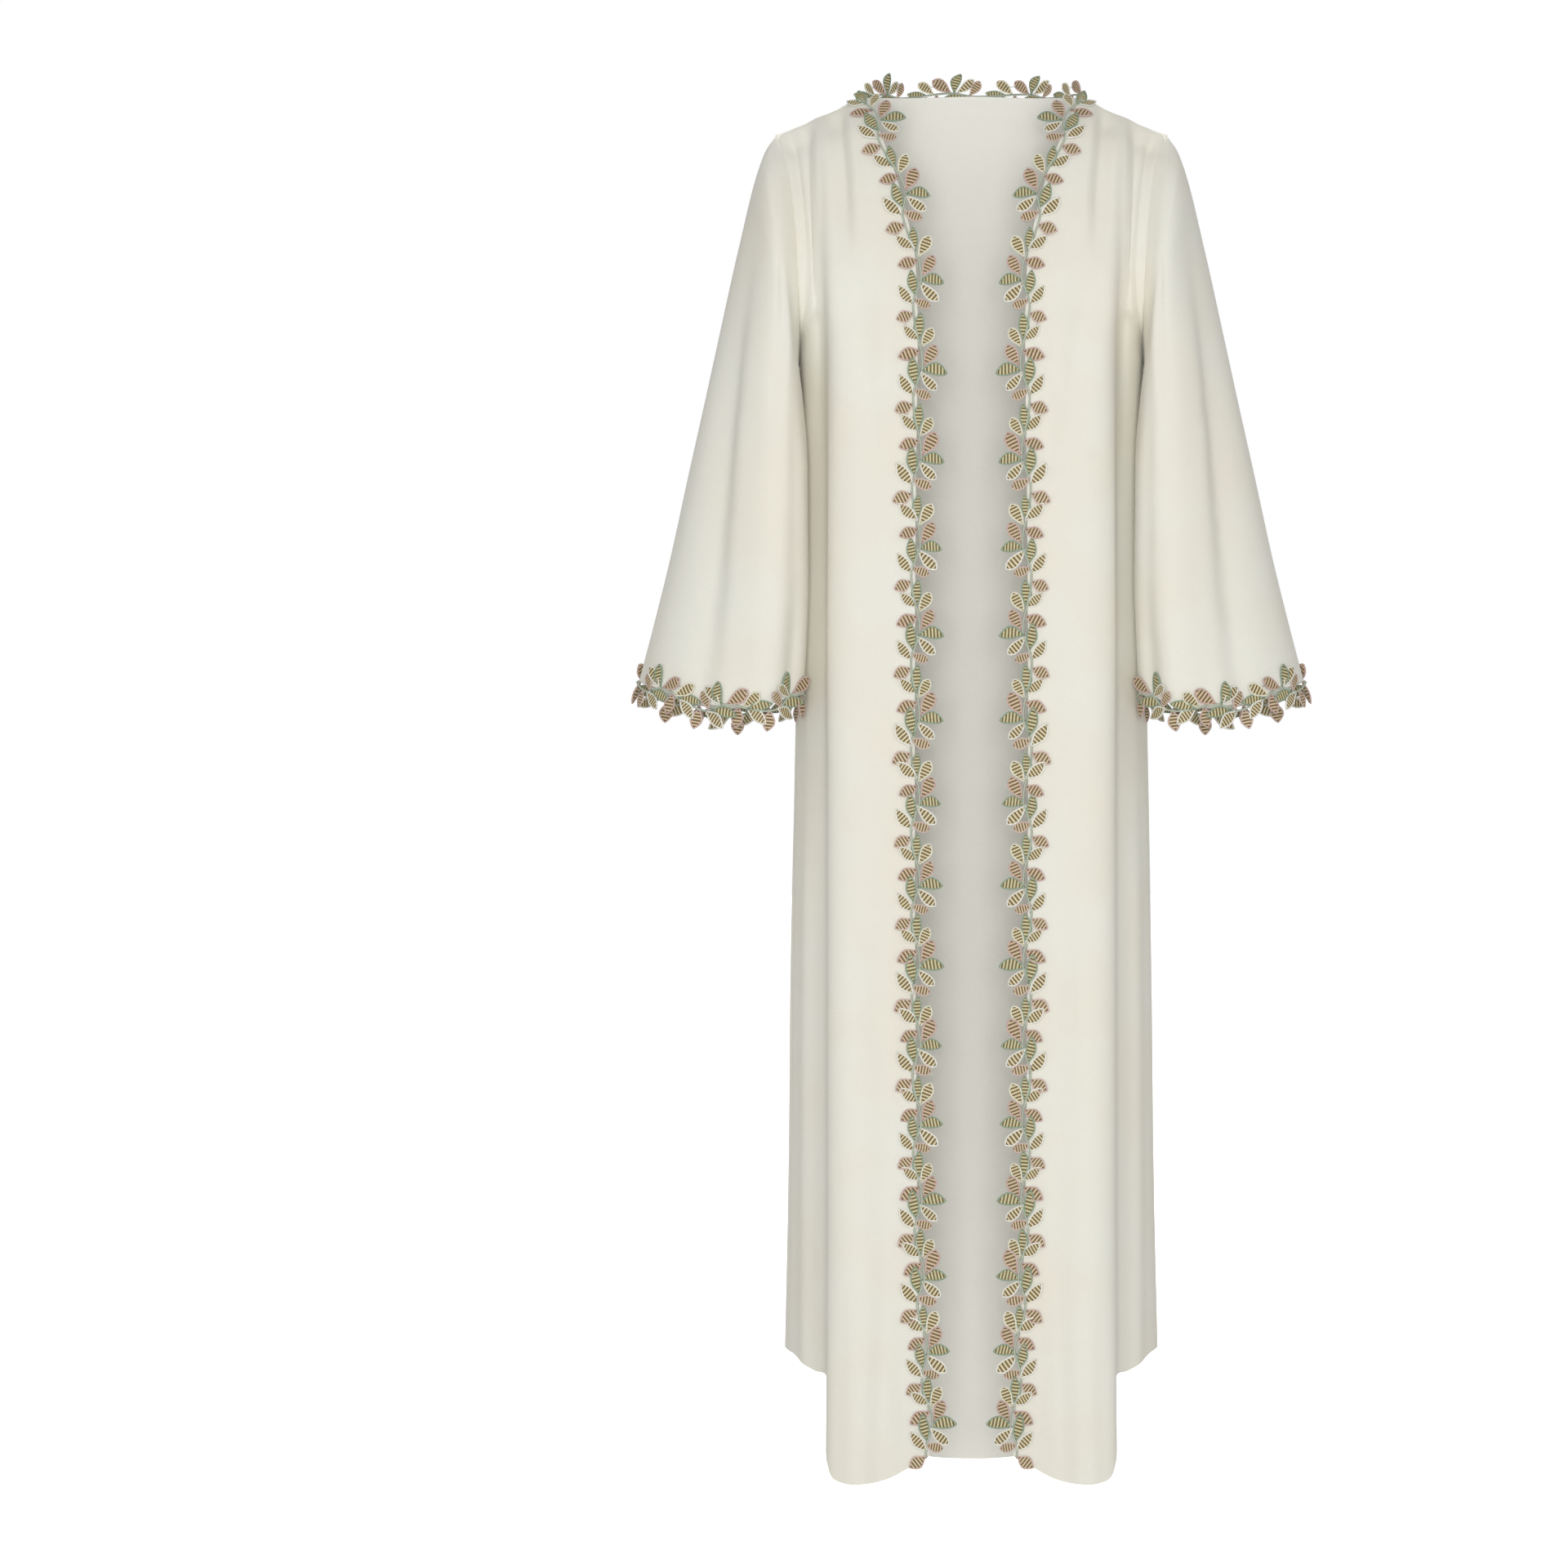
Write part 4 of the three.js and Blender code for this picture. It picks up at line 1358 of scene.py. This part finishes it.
class Lace:
    """A length of leaf lace sewn along an edge."""

    VINE_RADIUS = 1.1
    VINE_SIDES = 5
    VINE_THREAD = (190, 200, 182)
    BAR_RADIUS = 0.28
    BAR_SIDES = 3
    BAR_POINTS = 4
    BAR_START = 0.62
    BAR_LENGTHS = (4, 17)
    END_GAP = 0.4
    TILT = (3.0, 4.0)
    UNEVEN = 0.07
    LIFT_STEP = 0.25

    def __init__(self, name: str, edge: LaceEdge, pattern: LacePattern) -> None:
        """Lay out the pattern.

        Args:
            name: The name of the piece.
            edge: The edge that it is sewn to.
            pattern: How it repeats.
        """
        self.name = name
        self.edge = edge
        self.pattern = pattern
        self.repeats: list[tuple[float, float]] = []
        start = pattern.start
        for i in range(pattern.repeats):
            size = mix(pattern.first, pattern.last, i / (pattern.repeats - 1))
            self.repeats.append((start, size))
            start += REPEAT * size
        self.leaves = [leaf for number in range(pattern.repeats) for leaf in self.placed(number)]

    def placed(self, number: int) -> list[PlacedLeaf]:
        """The leaves of one repeat that lie on the edge."""
        start, size = self.repeats[number]
        placed = []
        for leaf in LEAVES:
            angle = math.radians(leaf.heading)
            forward = (-math.sin(angle), -math.cos(angle) * self.pattern.fans)
            root = (start + leaf.along * size, leaf.across * self.pattern.sway * self.pattern.fans)
            one = PlacedLeaf(leaf, root, forward, number)
            ends = (root[0], one.point(leaf.length * self.pattern.leaf, 0)[0])
            first = self.END_GAP + 1 - self.pattern.spill[0]
            last = self.edge.length - self.END_GAP - 1 + self.pattern.spill[1]
            if min(ends) > first and max(ends) < last:
                placed.append(one)
        return placed

    def tilt(self, placed: PlacedLeaf) -> float:
        """How far a leaf's tip rises off the cloth, in degrees, uneven from leaf to leaf."""
        mean, swing = self.TILT
        return mean + swing * math.sin(placed.number * 2.4 + placed.leaf.along * 0.7)

    def uneven(self, placed: PlacedLeaf) -> float:
        """A leaf's size as a share of its kind's, which differs a little from leaf to leaf."""
        return 1 + self.UNEVEN * math.sin(placed.number * 1.9 + placed.leaf.along * 1.3)

    def set_leaves(
        self, kind: LeafKind, tree: NodeTree, material: bpy.types.Material
    ) -> bpy.types.Object | None:
        """Set all leaves of one kind with the node tree."""
        chosen = [placed for placed in self.leaves if placed.leaf.kind is kind]
        if not chosen:
            return None
        mean_length = sum(p.leaf.length for p in chosen) / len(chosen)
        mean_width = sum(p.leaf.width for p in chosen) / len(chosen)
        shape = LeafShape(kind, mean_length, mean_width).build(f"{self.name}_{kind.name.lower()}_leaf")
        places, turns, sizes, tints, fills = [], [], [], [], []
        for placed in chosen:
            lift = self.pattern.lift + self.LIFT_STEP * (placed.number % 3)
            grown = self.pattern.leaf * self.uneven(placed)
            reach = placed.leaf.length * grown / 2
            along, across = placed.point(reach, 0)
            turn = self.edge.turned(along, across + self.pattern.shift, placed.forward, self.tilt(placed))
            middle, _ = self.edge.at(along, across + self.pattern.shift, lift)
            places.append(middle - np.array(turn @ Vector((0, reach, 0))))
            turns.append(tuple(turn.to_euler()))
            size = np.array((placed.leaf.width / mean_width, placed.leaf.length / mean_length, 1.0))
            sizes.append(size * grown)
            cord, fill = placed.leaf.thread.value
            tints.append(linear(cord))
            fills.append(linear(fill))
        base = mesh_object(f"{self.name}_points", np.array(places), [])
        for name, values in (("turn", turns), ("size", sizes)):
            add_values(base.data, name, values, "FLOAT_VECTOR")
        for name, values in (("tint", tints), ("fill", fills)):
            add_values(base.data, name, values, "FLOAT_COLOR")
        made = tree.run(base, f"{self.name}_{kind.name.lower()}", {"Leaf": shape, "Material": material})
        bpy.data.objects.remove(shape)
        return made

    def vine_line(self) -> np.ndarray:
        """The middle line of the vine, off the cloth."""
        sway = self.pattern.sway * self.pattern.fans
        knots = [(s + a * size, t * sway) for s, size in self.repeats for a, t in VINE]
        knots = [k for k in knots if self.END_GAP < k[0] < self.edge.length - self.END_GAP]
        ends = [(self.END_GAP, knots[0][1]), *knots, (self.edge.length - self.END_GAP, knots[-1][1])]
        net = np.array([ends[0], *ends, ends[-1]])
        flat = knot_weights(len(ends), np.linspace(0, len(ends) - 1, (len(ends) - 1) * 3 + 1)) @ net
        return self.raised(flat)

    def raised(self, flat: Iterable[Sequence[float]]) -> np.ndarray:
        """Points off the cloth, from their places along and across the edge."""
        return np.array([self.edge.at(s, t + self.pattern.shift, self.pattern.lift)[0] for s, t in flat])

    def bar_lines(self) -> list[np.ndarray]:
        """The short bars of thread between neighbouring leaves."""
        lines = []
        by_place = {(p.number, LEAVES.index(p.leaf)): p for p in self.leaves}
        for number in range(len(self.repeats)):
            for a, b in BARS:
                one = by_place.get((number, a))
                two = by_place.get((number, b)) or by_place.get((number + 1, b))
                if one is None or two is None:
                    continue
                reaches = [p.leaf.length * self.pattern.leaf * self.BAR_START for p in (one, two)]
                (x0, y0), (x1, y1) = one.point(reaches[0], 0.0), two.point(reaches[1], 0.0)
                if not self.BAR_LENGTHS[0] < math.dist((x0, y0), (x1, y1)) < self.BAR_LENGTHS[1]:
                    continue
                steps = np.linspace(0, 1, self.BAR_POINTS)
                lines.append(self.raised([(mix(x0, x1, f), mix(y0, y1, f)) for f in steps]))
        return lines

    def set_cord(
        self,
        lines: Sequence[np.ndarray],
        radius: float,
        sides: int,
        tree: NodeTree,
        material: bpy.types.Material,
    ) -> bpy.types.Object:
        """A round cord along each line.

        Args:
            lines: The lines, in millimetres.
            radius: The cord's radius, in millimetres.
            sides: How many sides it has.
            tree: The cord's node tree.
            material: Its material.

        Returns:
            The cord as a mesh, with its map and tint.
        """
        mesh = bpy.data.meshes.new(f"{self.name}_line")
        edges, first = [], 0
        for line in lines:
            edges.extend((first + k, first + k + 1) for k in range(len(line) - 1))
            first += len(line)
        mesh.from_pydata((np.concatenate(lines) * MM).tolist(), edges, [])
        values = {"Radius": radius * MM, "Sides": sides, "Material": material}
        made = tree.run(linked(mesh.name, mesh), f"{self.name}_cord", values)
        count = len(made.data.vertices)
        run = np.zeros(count, np.float32)
        if "run" in made.data.attributes:
            made.data.attributes["run"].data.foreach_get("value", run)
        around = np.arange(count) % sides / sides
        add_map(made.data, list(zip(around.tolist(), (run / MM).tolist())))
        add_values(made.data, "cord", np.ones(count))
        for name in ("tint", "fill"):
            add_values(made.data, name, np.tile(linear(self.VINE_THREAD), count), "FLOAT_COLOR")
        made.data.shade_smooth()
        return made

    def build(self, leaves: NodeTree, cords: NodeTree, material: bpy.types.Material) -> bpy.types.Object:
        """The whole length of lace as one mesh."""
        parts = [self.set_leaves(kind, leaves, material) for kind in LeafKind]
        parts.append(self.set_cord([self.vine_line()], self.VINE_RADIUS, self.VINE_SIDES, cords, material))
        bars = self.bar_lines()
        if bars:
            parts.append(self.set_cord(bars, self.BAR_RADIUS, self.BAR_SIDES, cords, material))
        return joined([part for part in parts if part is not None], self.name)


def joined(parts: Sequence[bpy.types.Object], name: str) -> bpy.types.Object:
    """Several mesh objects as one, which takes the name."""
    with bpy.context.temp_override(
        active_object=parts[0],
        object=parts[0],
        selected_objects=list(parts),
        selected_editable_objects=list(parts),
    ):
        bpy.ops.object.join()
    parts[0].name = name
    parts[0].data.name = name
    return parts[0]


# The garment


@dataclass
class Dress:
    """The dress: its cloth pieces, and the lace along their edges."""

    across_step: float = 3.6
    back_step: float = 5.0
    down_step: float = 5.2
    front: Surface = field(init=False)
    back: Surface = field(init=False)
    rows: list[float] = field(init=False)
    shoulder_folds: tuple[np.ndarray, np.ndarray] = field(init=False)
    shoulder_groove: tuple[np.ndarray, np.ndarray] = field(init=False)

    def __post_init__(self) -> None:
        """Work out the surfaces and how finely they are divided."""
        self.front, self.back = body_surfaces()
        side = self.front.grid([len(FRONT_STATIONS) - 1], range(len(SECTIONS)))[:, 0]
        lengths = steps_between(side)
        self.rows = with_seams(spaced(range(len(SECTIONS)), lengths, self.down_step), last=False)

    def front_columns(self) -> list[float]:
        """Places across a front panel."""
        stations = range(len(FRONT_STATIONS))
        lengths = steps_between(self.front.grid(stations, [MEASURED_SECTION])[0])
        return with_seams(spaced(stations, lengths, self.across_step), first=False)

    def back_columns(self) -> list[float]:
        """Places across the whole back."""
        stations = range(2 * len(BACK_STATIONS) - 1)
        lengths = steps_between(self.back.grid(stations, [MEASURED_SECTION])[0])
        return with_seams(spaced(stations, lengths, self.back_step))

    def side_line(self) -> np.ndarray:
        """The side seam, midway between the two panels' own lines, below the armhole."""
        front = self.front.grid([len(FRONT_STATIONS) - 1], self.rows)[:, 0]
        back = self.back.grid([0], self.rows)[:, 0]
        return (front + back) / 2

    def eased(self, grid: np.ndarray, aside: np.ndarray) -> np.ndarray:
        """A panel whose turn at the level of the underarm is soft.

        Args:
            grid: The panel.
            aside: How far each point lies from the armhole and the side seam, where nothing is moved.

        Returns:
            The panel's new grid.
        """
        level = grid[self.rows.index(UNDERARM), :, 2]
        near = np.exp(-(((grid[..., 2] - level) / UNDERARM_SPREAD) ** 2))
        soft = UNDERARM_EASE * near * smoothstep(aside, 0, UNDERARM_CLEAR)
        for _ in range(UNDERARM_PASSES):
            middle = (grid[:-2, :, :2] + grid[2:, :, :2]) / 2
            grid[1:-1, :, :2] += soft[1:-1, :, None] * (middle - grid[1:-1, :, :2])
        return grid

    def front_panel(self) -> Panel:
        """The left front, whose turn to the side is soft, and which is pressed at the shoulder too."""
        grid = self.front.grid(self.front_columns(), self.rows)
        below = [i for i, v in enumerate(self.rows) if v > UNDERARM]
        grid[below, -1] = self.side_line()[below]
        soft = TURN_EASE * np.exp(-(((np.array(self.front_columns()) - TURN_STATION) / TURN_SPREAD) ** 2))
        for _ in range(TURN_PASSES):
            middle = (grid[:, :-2, :2] + grid[:, 2:, :2]) / 2
            grid[:, 1:-1, :2] += soft[None, 1:-1, None] * (middle - grid[:, 1:-1, :2])
        across = run_along(grid, 1)
        grid = self.eased(grid, across[:, -1:] - across)
        normals = grid_normals(grid, False)
        across, down = run_along(grid, 1), run_along(grid, 0)
        clear = smoothstep(across[:, -1:] - across, 0, SEAM_CLEAR)
        held = SHOULDER_HOLD + (1 - SHOULDER_HOLD) * smoothstep(down, 0, SHOULDER_FADE)
        folds = pressed(grid[..., [0, 2]].copy(), FRONT_CREASES) * clear * held
        groove = seam_groove(down) * clear
        self.shoulder_folds = (grid[0, :, 0], -normals[0] * folds[0][:, None])
        self.shoulder_groove = (grid[0, :, 0], -normals[0] * groove[0][:, None])
        grid = grid - normals * (folds + groove)[..., None]
        return Panel("front_left_cloth", "front_left", grid, hems=("bottom", "first"), seams=("last",))

    def back_panel(self) -> Panel:
        """The back, cut whole, which follows the fronts at the shoulders."""
        grid = self.back.grid(self.back_columns(), self.rows)
        below = [i for i, v in enumerate(self.rows) if v > UNDERARM]
        grid[below, 0] = self.side_line()[below]
        grid[below, -1] = mirrored(self.side_line()[below])
        across = run_along(grid, 1)
        grid = self.eased(grid, np.minimum(across, across[:, -1:] - across))
        across, down = run_along(grid, 1), run_along(grid, 0)
        depth = pressed(grid[..., [0, 2]].copy(), BACK_CREASES)
        sides = smoothstep(across, 0, SEAM_CLEAR) * smoothstep(across[:, -1:] - across, 0, SEAM_CLEAR)
        depth *= sides * smoothstep(down, 0, NECK_CLEAR)
        top = grid[0, :, 0].copy()
        grid = grid - grid_normals(grid, False) * depth[..., None]
        for (places, moves), share in (
            (self.shoulder_folds, 1 - smoothstep(down, 0, SHOULDER_FOLLOW)),
            (self.shoulder_groove, np.exp(-((down / SEAM_REACH) ** 2))),
        ):
            follow = [np.interp(abs(top), places, moves[:, k], left=0.0) for k in range(3)]
            follow = np.stack(follow, axis=1)
            follow[:, 0] *= np.sign(top)
            grid = grid + follow[None, :, :] * share[..., None]
        hems, seams = ("top", "bottom"), ("first", "last")
        return Panel("back_cloth", "back", grid, hems=hems, seams=seams, hem_depth=8.0, pucker=0.5)

    def armhole(self) -> tuple[np.ndarray, np.ndarray]:
        """The armhole from the shoulder over the front to the underarm and up the back, and its angles."""
        down = [v for v in self.rows if v <= UNDERARM]
        front = self.front.grid([len(FRONT_STATIONS) - 1], down)[:, 0]
        back = self.back.grid([0], down)[:, 0]
        front_share, back_share = (run / run[-1] for run in (run_of(front), run_of(back)))
        points = np.concatenate([front, back[-2:0:-1]])
        angles = np.concatenate([math.pi * front_share, math.pi * (2 - back_share[-2:0:-1])])
        return points, angles

    def sleeve_panel(self, front_panel: Panel, back_panel: Panel) -> Panel:
        """The left sleeve, which is sewn to the two panels all round the armhole."""
        start, angles = self.armhole()
        rings = [start]
        for ring in SLEEVE_RINGS:
            outer, inner = np.array(ring.out, float), np.array(ring.inner, float)
            middle = (outer + inner) / 2
            forwards = np.array([ring.swing, -ring.half, 0.0])
            outwards = np.cos(angles)[:, None] * (outer - middle)
            points = middle + outwards + np.sin(angles)[:, None] * forwards
            points[:, 2] -= ring.droop * np.sin(angles) ** 2
            rings.append(points)
        knots = np.array(rings)
        lengths = np.linalg.norm(np.diff(knots, axis=0), axis=2).mean(axis=1)
        places = np.array(with_seams(spaced(range(CUFF + 1), lengths, self.down_step), last=False))
        grid = self.folded(lofted(knots, places), places, angles)
        chart = np.empty((*grid.shape[:2], 2))
        chart[..., 0] = np.degrees(angles)[None, :]
        down = run_along(grid, 0)
        chart[..., 1] = down
        depth = pressed(chart, SLEEVE_CREASES, 360.0) * smoothstep(down, 0, ARMHOLE_CLEAR)
        grid = grid + grid_normals(grid, True) * depth[..., None]
        above = [i for i, v in enumerate(self.rows) if v <= UNDERARM]
        seam = np.concatenate([front_panel.grid[above, -1], back_panel.grid[above, 0][-2:0:-1]])
        grid = grid + (seam - grid[0]) * (1 - smoothstep(down, 0, ARMHOLE_REACH))[..., None]
        return Panel("sleeve_left_cloth", "sleeve_left", grid, closed=True, hems=("bottom",))

    def folded(self, grid: np.ndarray, places: np.ndarray, angles: np.ndarray) -> np.ndarray:
        """The sleeve with its long folds sunk towards the middle of each ring."""
        sink = np.zeros(grid.shape[:2])
        for fold in SLEEVE_FOLDS:
            grown = np.clip((places - fold.ring) / (CUFF - fold.ring), 0, 1)
            centre = np.radians(mix(fold.angle, fold.cuff_angle, grown))
            off = (angles[None, :] - centre[:, None]) / math.radians(fold.spread)
            sink += fold.depth * np.sqrt(grown)[:, None] * np.exp(-off * off)
        nearest = [max(0, round(v + 1e-9) - 1) for v in places]
        middles = np.array([(np.array(r.out) + np.array(r.inner)) / 2 for r in SLEEVE_RINGS])[nearest]
        inwards = middles[:, None, :] - grid
        inwards[..., 2] = 0.0
        inwards /= np.linalg.norm(inwards, axis=2, keepdims=True)
        return grid + inwards * sink[..., None]

    def front_edge(self, panel: Panel) -> LaceEdge:
        """The front opening's edge."""
        return LaceEdge(panel.grid[:, :FRONT_RIB], panel.normals[:, :FRONT_RIB])

    def neck_edge(self, panel: Panel) -> LaceEdge:
        """The back neckline, from the wearer's right to the left."""
        last = 2 * (len(BACK_STATIONS) - 1) - NECK_STATION
        columns = [j for j, u in enumerate(self.back_columns()) if NECK_STATION <= u <= last][::-1]
        rib = panel.grid[:NECK_RIB, columns], panel.normals[:NECK_RIB, columns]
        return LaceEdge(*(values.transpose(1, 0, 2) for values in rib))

    def cuff_edges(self, panel: Panel) -> dict[str, LaceEdge]:
        """The cuff's edge in two lengths, round the back and round the front."""
        points = panel.grid[::-1][:CUFF_RIB].transpose(1, 0, 2)
        normals = panel.normals[::-1][:CUFF_RIB].transpose(1, 0, 2)
        under = [v for v in self.rows if v <= UNDERARM]
        half = len(under) - 1
        ring = [*range(points.shape[0]), 0][::-1]
        split = len(ring) - 1 - half
        return {
            "back": LaceEdge(points[ring[: split + 1]], normals[ring[: split + 1]]),
            "front": LaceEdge(points[ring[split:]], normals[ring[split:]]),
        }


def hand_in(
    obj: bpy.types.Object, node: str, material: bpy.types.Material | None = None
) -> None:
    """Let a finished piece stand for its CAD node and take its finish.

    Args:
        obj: The piece.
        node: The node that it replaces.
        material: Its material, where it has none yet.
    """
    if material is not None:
        obj.data.materials.clear()
        obj.data.materials.append(material)
    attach(obj, BODY)
    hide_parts(node)
    log.info("%s: %d faces", obj.name, len(obj.data.polygons))


def build_dress() -> None:
    """Build every piece of the dress."""
    dress = Dress()
    crepe = Crepe().material()
    thread = LaceThread().material()
    leaves, cords = leaf_tree(), cord_tree()
    front, back = dress.front_panel(), dress.back_panel()
    sleeve = dress.sleeve_panel(front, back)
    cloth: dict[str, bpy.types.Object] = {}
    for panel in (front, back, sleeve):
        cloth[panel.node] = panel.build()
        hand_in(cloth[panel.node], panel.node, crepe)
    for node in ("front", "sleeve"):
        name = f"{node}_right"
        cloth[name] = other_side(cloth[f"{node}_left"], f"{name}_cloth")
        hand_in(cloth[name], name)
    trims: dict[str, list[bpy.types.Object]] = {node: [] for node in cloth}
    neck = Lace("trim_neck_lace", dress.neck_edge(back), NECK_LACE).build(leaves, cords, thread)
    hand_in(neck, "trim_neck")
    trims["back"].append(neck)
    edges = {"trim_front_left": ("front", dress.front_edge(front), FRONT_LACE)}
    for half, edge in dress.cuff_edges(sleeve).items():
        edges[f"trim_cuff_left_{half}"] = ("sleeve", edge, CUFF_LACE)
    for node, (owner, edge, pattern) in edges.items():
        left = Lace(f"{node}_lace", edge, pattern).build(leaves, cords, thread)
        right_node = node.replace("left", "right")
        right = other_side(left, f"{right_node}_lace")
        for obj, name, side in ((left, node, "left"), (right, right_node, "right")):
            hand_in(obj, name)
            trims[f"{owner}_{side}"].append(obj)
    for panel in (front, back, sleeve):
        width, length = panel.flat_size()
        area = min(panel.flat_area(), width * length)
        for node in dict.fromkeys((panel.node, panel.node.replace("left", "right"))):
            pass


# The studio


@dataclass(frozen=True)
class SoftBox:
    """A soft box: where it stands, the point that it faces, its width and height, and its power in watts."""

    name: str
    place: tuple[float, float, float]
    aim: tuple[float, float, float]
    size: tuple[float, float]
    power: float


CENTRE = (0.0, 0.0, -0.7)
SOFT_BOXES = (
    SoftBox("key", (0.0, -5.2, -0.55), CENTRE, (1.4, 1.4), 120.0),
    SoftBox("top", (0.0, -1.2, 2.4), (0.0, 0.0, -0.2), (2.4, 1.2), 1.0),
    SoftBox("left_side", (-3.8, -2.0, -0.2), CENTRE, (1.2, 2.8), 4.0),
    SoftBox("right_side", (3.8, -2.0, -0.2), CENTRE, (1.2, 2.8), 4.0),
    SoftBox("back", (0.0, 4.4, 0.2), CENTRE, (2.0, 2.0), 48.0),
)


@dataclass(frozen=True)
class Studio:
    """A level camera far in front of the dress, a pale floor and soft light.

    The image is taken as 1920 pixels square, in which the middle of the dress is at middle_x and the level
    of the camera at half the height. One millimetre at the dress is image_scale pixels. surround is how
    bright the world's light is. The camera itself sees the world as plain white.
    """

    image: float = 1920.0
    middle_x: float = 1189.5
    image_scale: float = 1.191
    distance: float = 5.0
    camera_height: float = -0.7053
    sensor: float = 36.0
    floor_height: float = -1.5
    floor_half: float = 30.0
    surround: float = 0.51

    def camera(self) -> None:
        """Make the camera and look through it."""
        data = bpy.data.cameras.new("camera")
        data.sensor_width = self.sensor
        data.sensor_fit = "HORIZONTAL"
        data.lens = self.image_scale * self.distance / MM / self.image * self.sensor
        data.shift_x = (self.image / 2 - self.middle_x) / self.image
        data.clip_end = 100
        camera = linked("camera", data)
        camera.location = (0, -self.distance, self.camera_height)
        camera.rotation_euler = (math.pi / 2, 0, 0)
        bpy.context.scene.camera = camera

    def floor(self) -> None:
        """A wide pale floor."""
        half = self.floor_half
        corners = np.array([(-half, -half, 0), (half, -half, 0), (half, half, 0), (-half, half, 0)]) / MM
        floor = mesh_object("floor", corners + np.array([0, 0, self.floor_height / MM]), [(0, 1, 2, 3)])
        floor.data.materials.append(Paper().material())

    def lights(self) -> None:
        """A broad key from the front, and weaker lights all round."""
        for box in SOFT_BOXES:
            data = bpy.data.lights.new(box.name, "AREA")
            data.shape = "RECTANGLE"
            data.size, data.size_y = box.size
            data.energy = box.power
            lamp = linked(box.name, data)
            lamp.location = box.place
            aim = Vector(box.aim) - Vector(box.place)
            lamp.rotation_euler = aim.to_track_quat("-Z", "Y").to_euler()

    def world(self) -> None:
        """A pale surround, which the camera sees as white."""
        world = bpy.data.worlds.new("surround")
        world.use_nodes = True
        tree = world.node_tree
        tree.nodes.clear()
        seen = tree.nodes.new("ShaderNodeLightPath").outputs["Is Camera Ray"]
        mixed = tree.nodes.new("ShaderNodeMixShader")
        tree.links.new(seen, mixed.inputs[0])
        for socket, strength in ((1, self.surround), (2, 1.0)):
            background = tree.nodes.new("ShaderNodeBackground")
            background.inputs["Color"].default_value = (1.0, 1.0, 1.0, 1.0)
            background.inputs["Strength"].default_value = strength
            tree.links.new(background.outputs[0], mixed.inputs[socket])
        output = tree.nodes.new("ShaderNodeOutputWorld")
        tree.links.new(mixed.outputs[0], output.inputs["Surface"])
        bpy.context.scene.world = world
        bpy.context.scene.view_settings.view_transform = "Standard"

    def build(self) -> None:
        """Set the whole studio."""
        self.camera()
        self.floor()
        self.lights()
        self.world()


def main() -> None:
    """Load the frame, build the dress and the studio, and log each piece's count of faces."""
    logging.basicConfig(level=logging.INFO, format="%(name)s: %(message)s")
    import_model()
    Studio().build()
    build_dress()


if __name__ == "__main__":
    main()
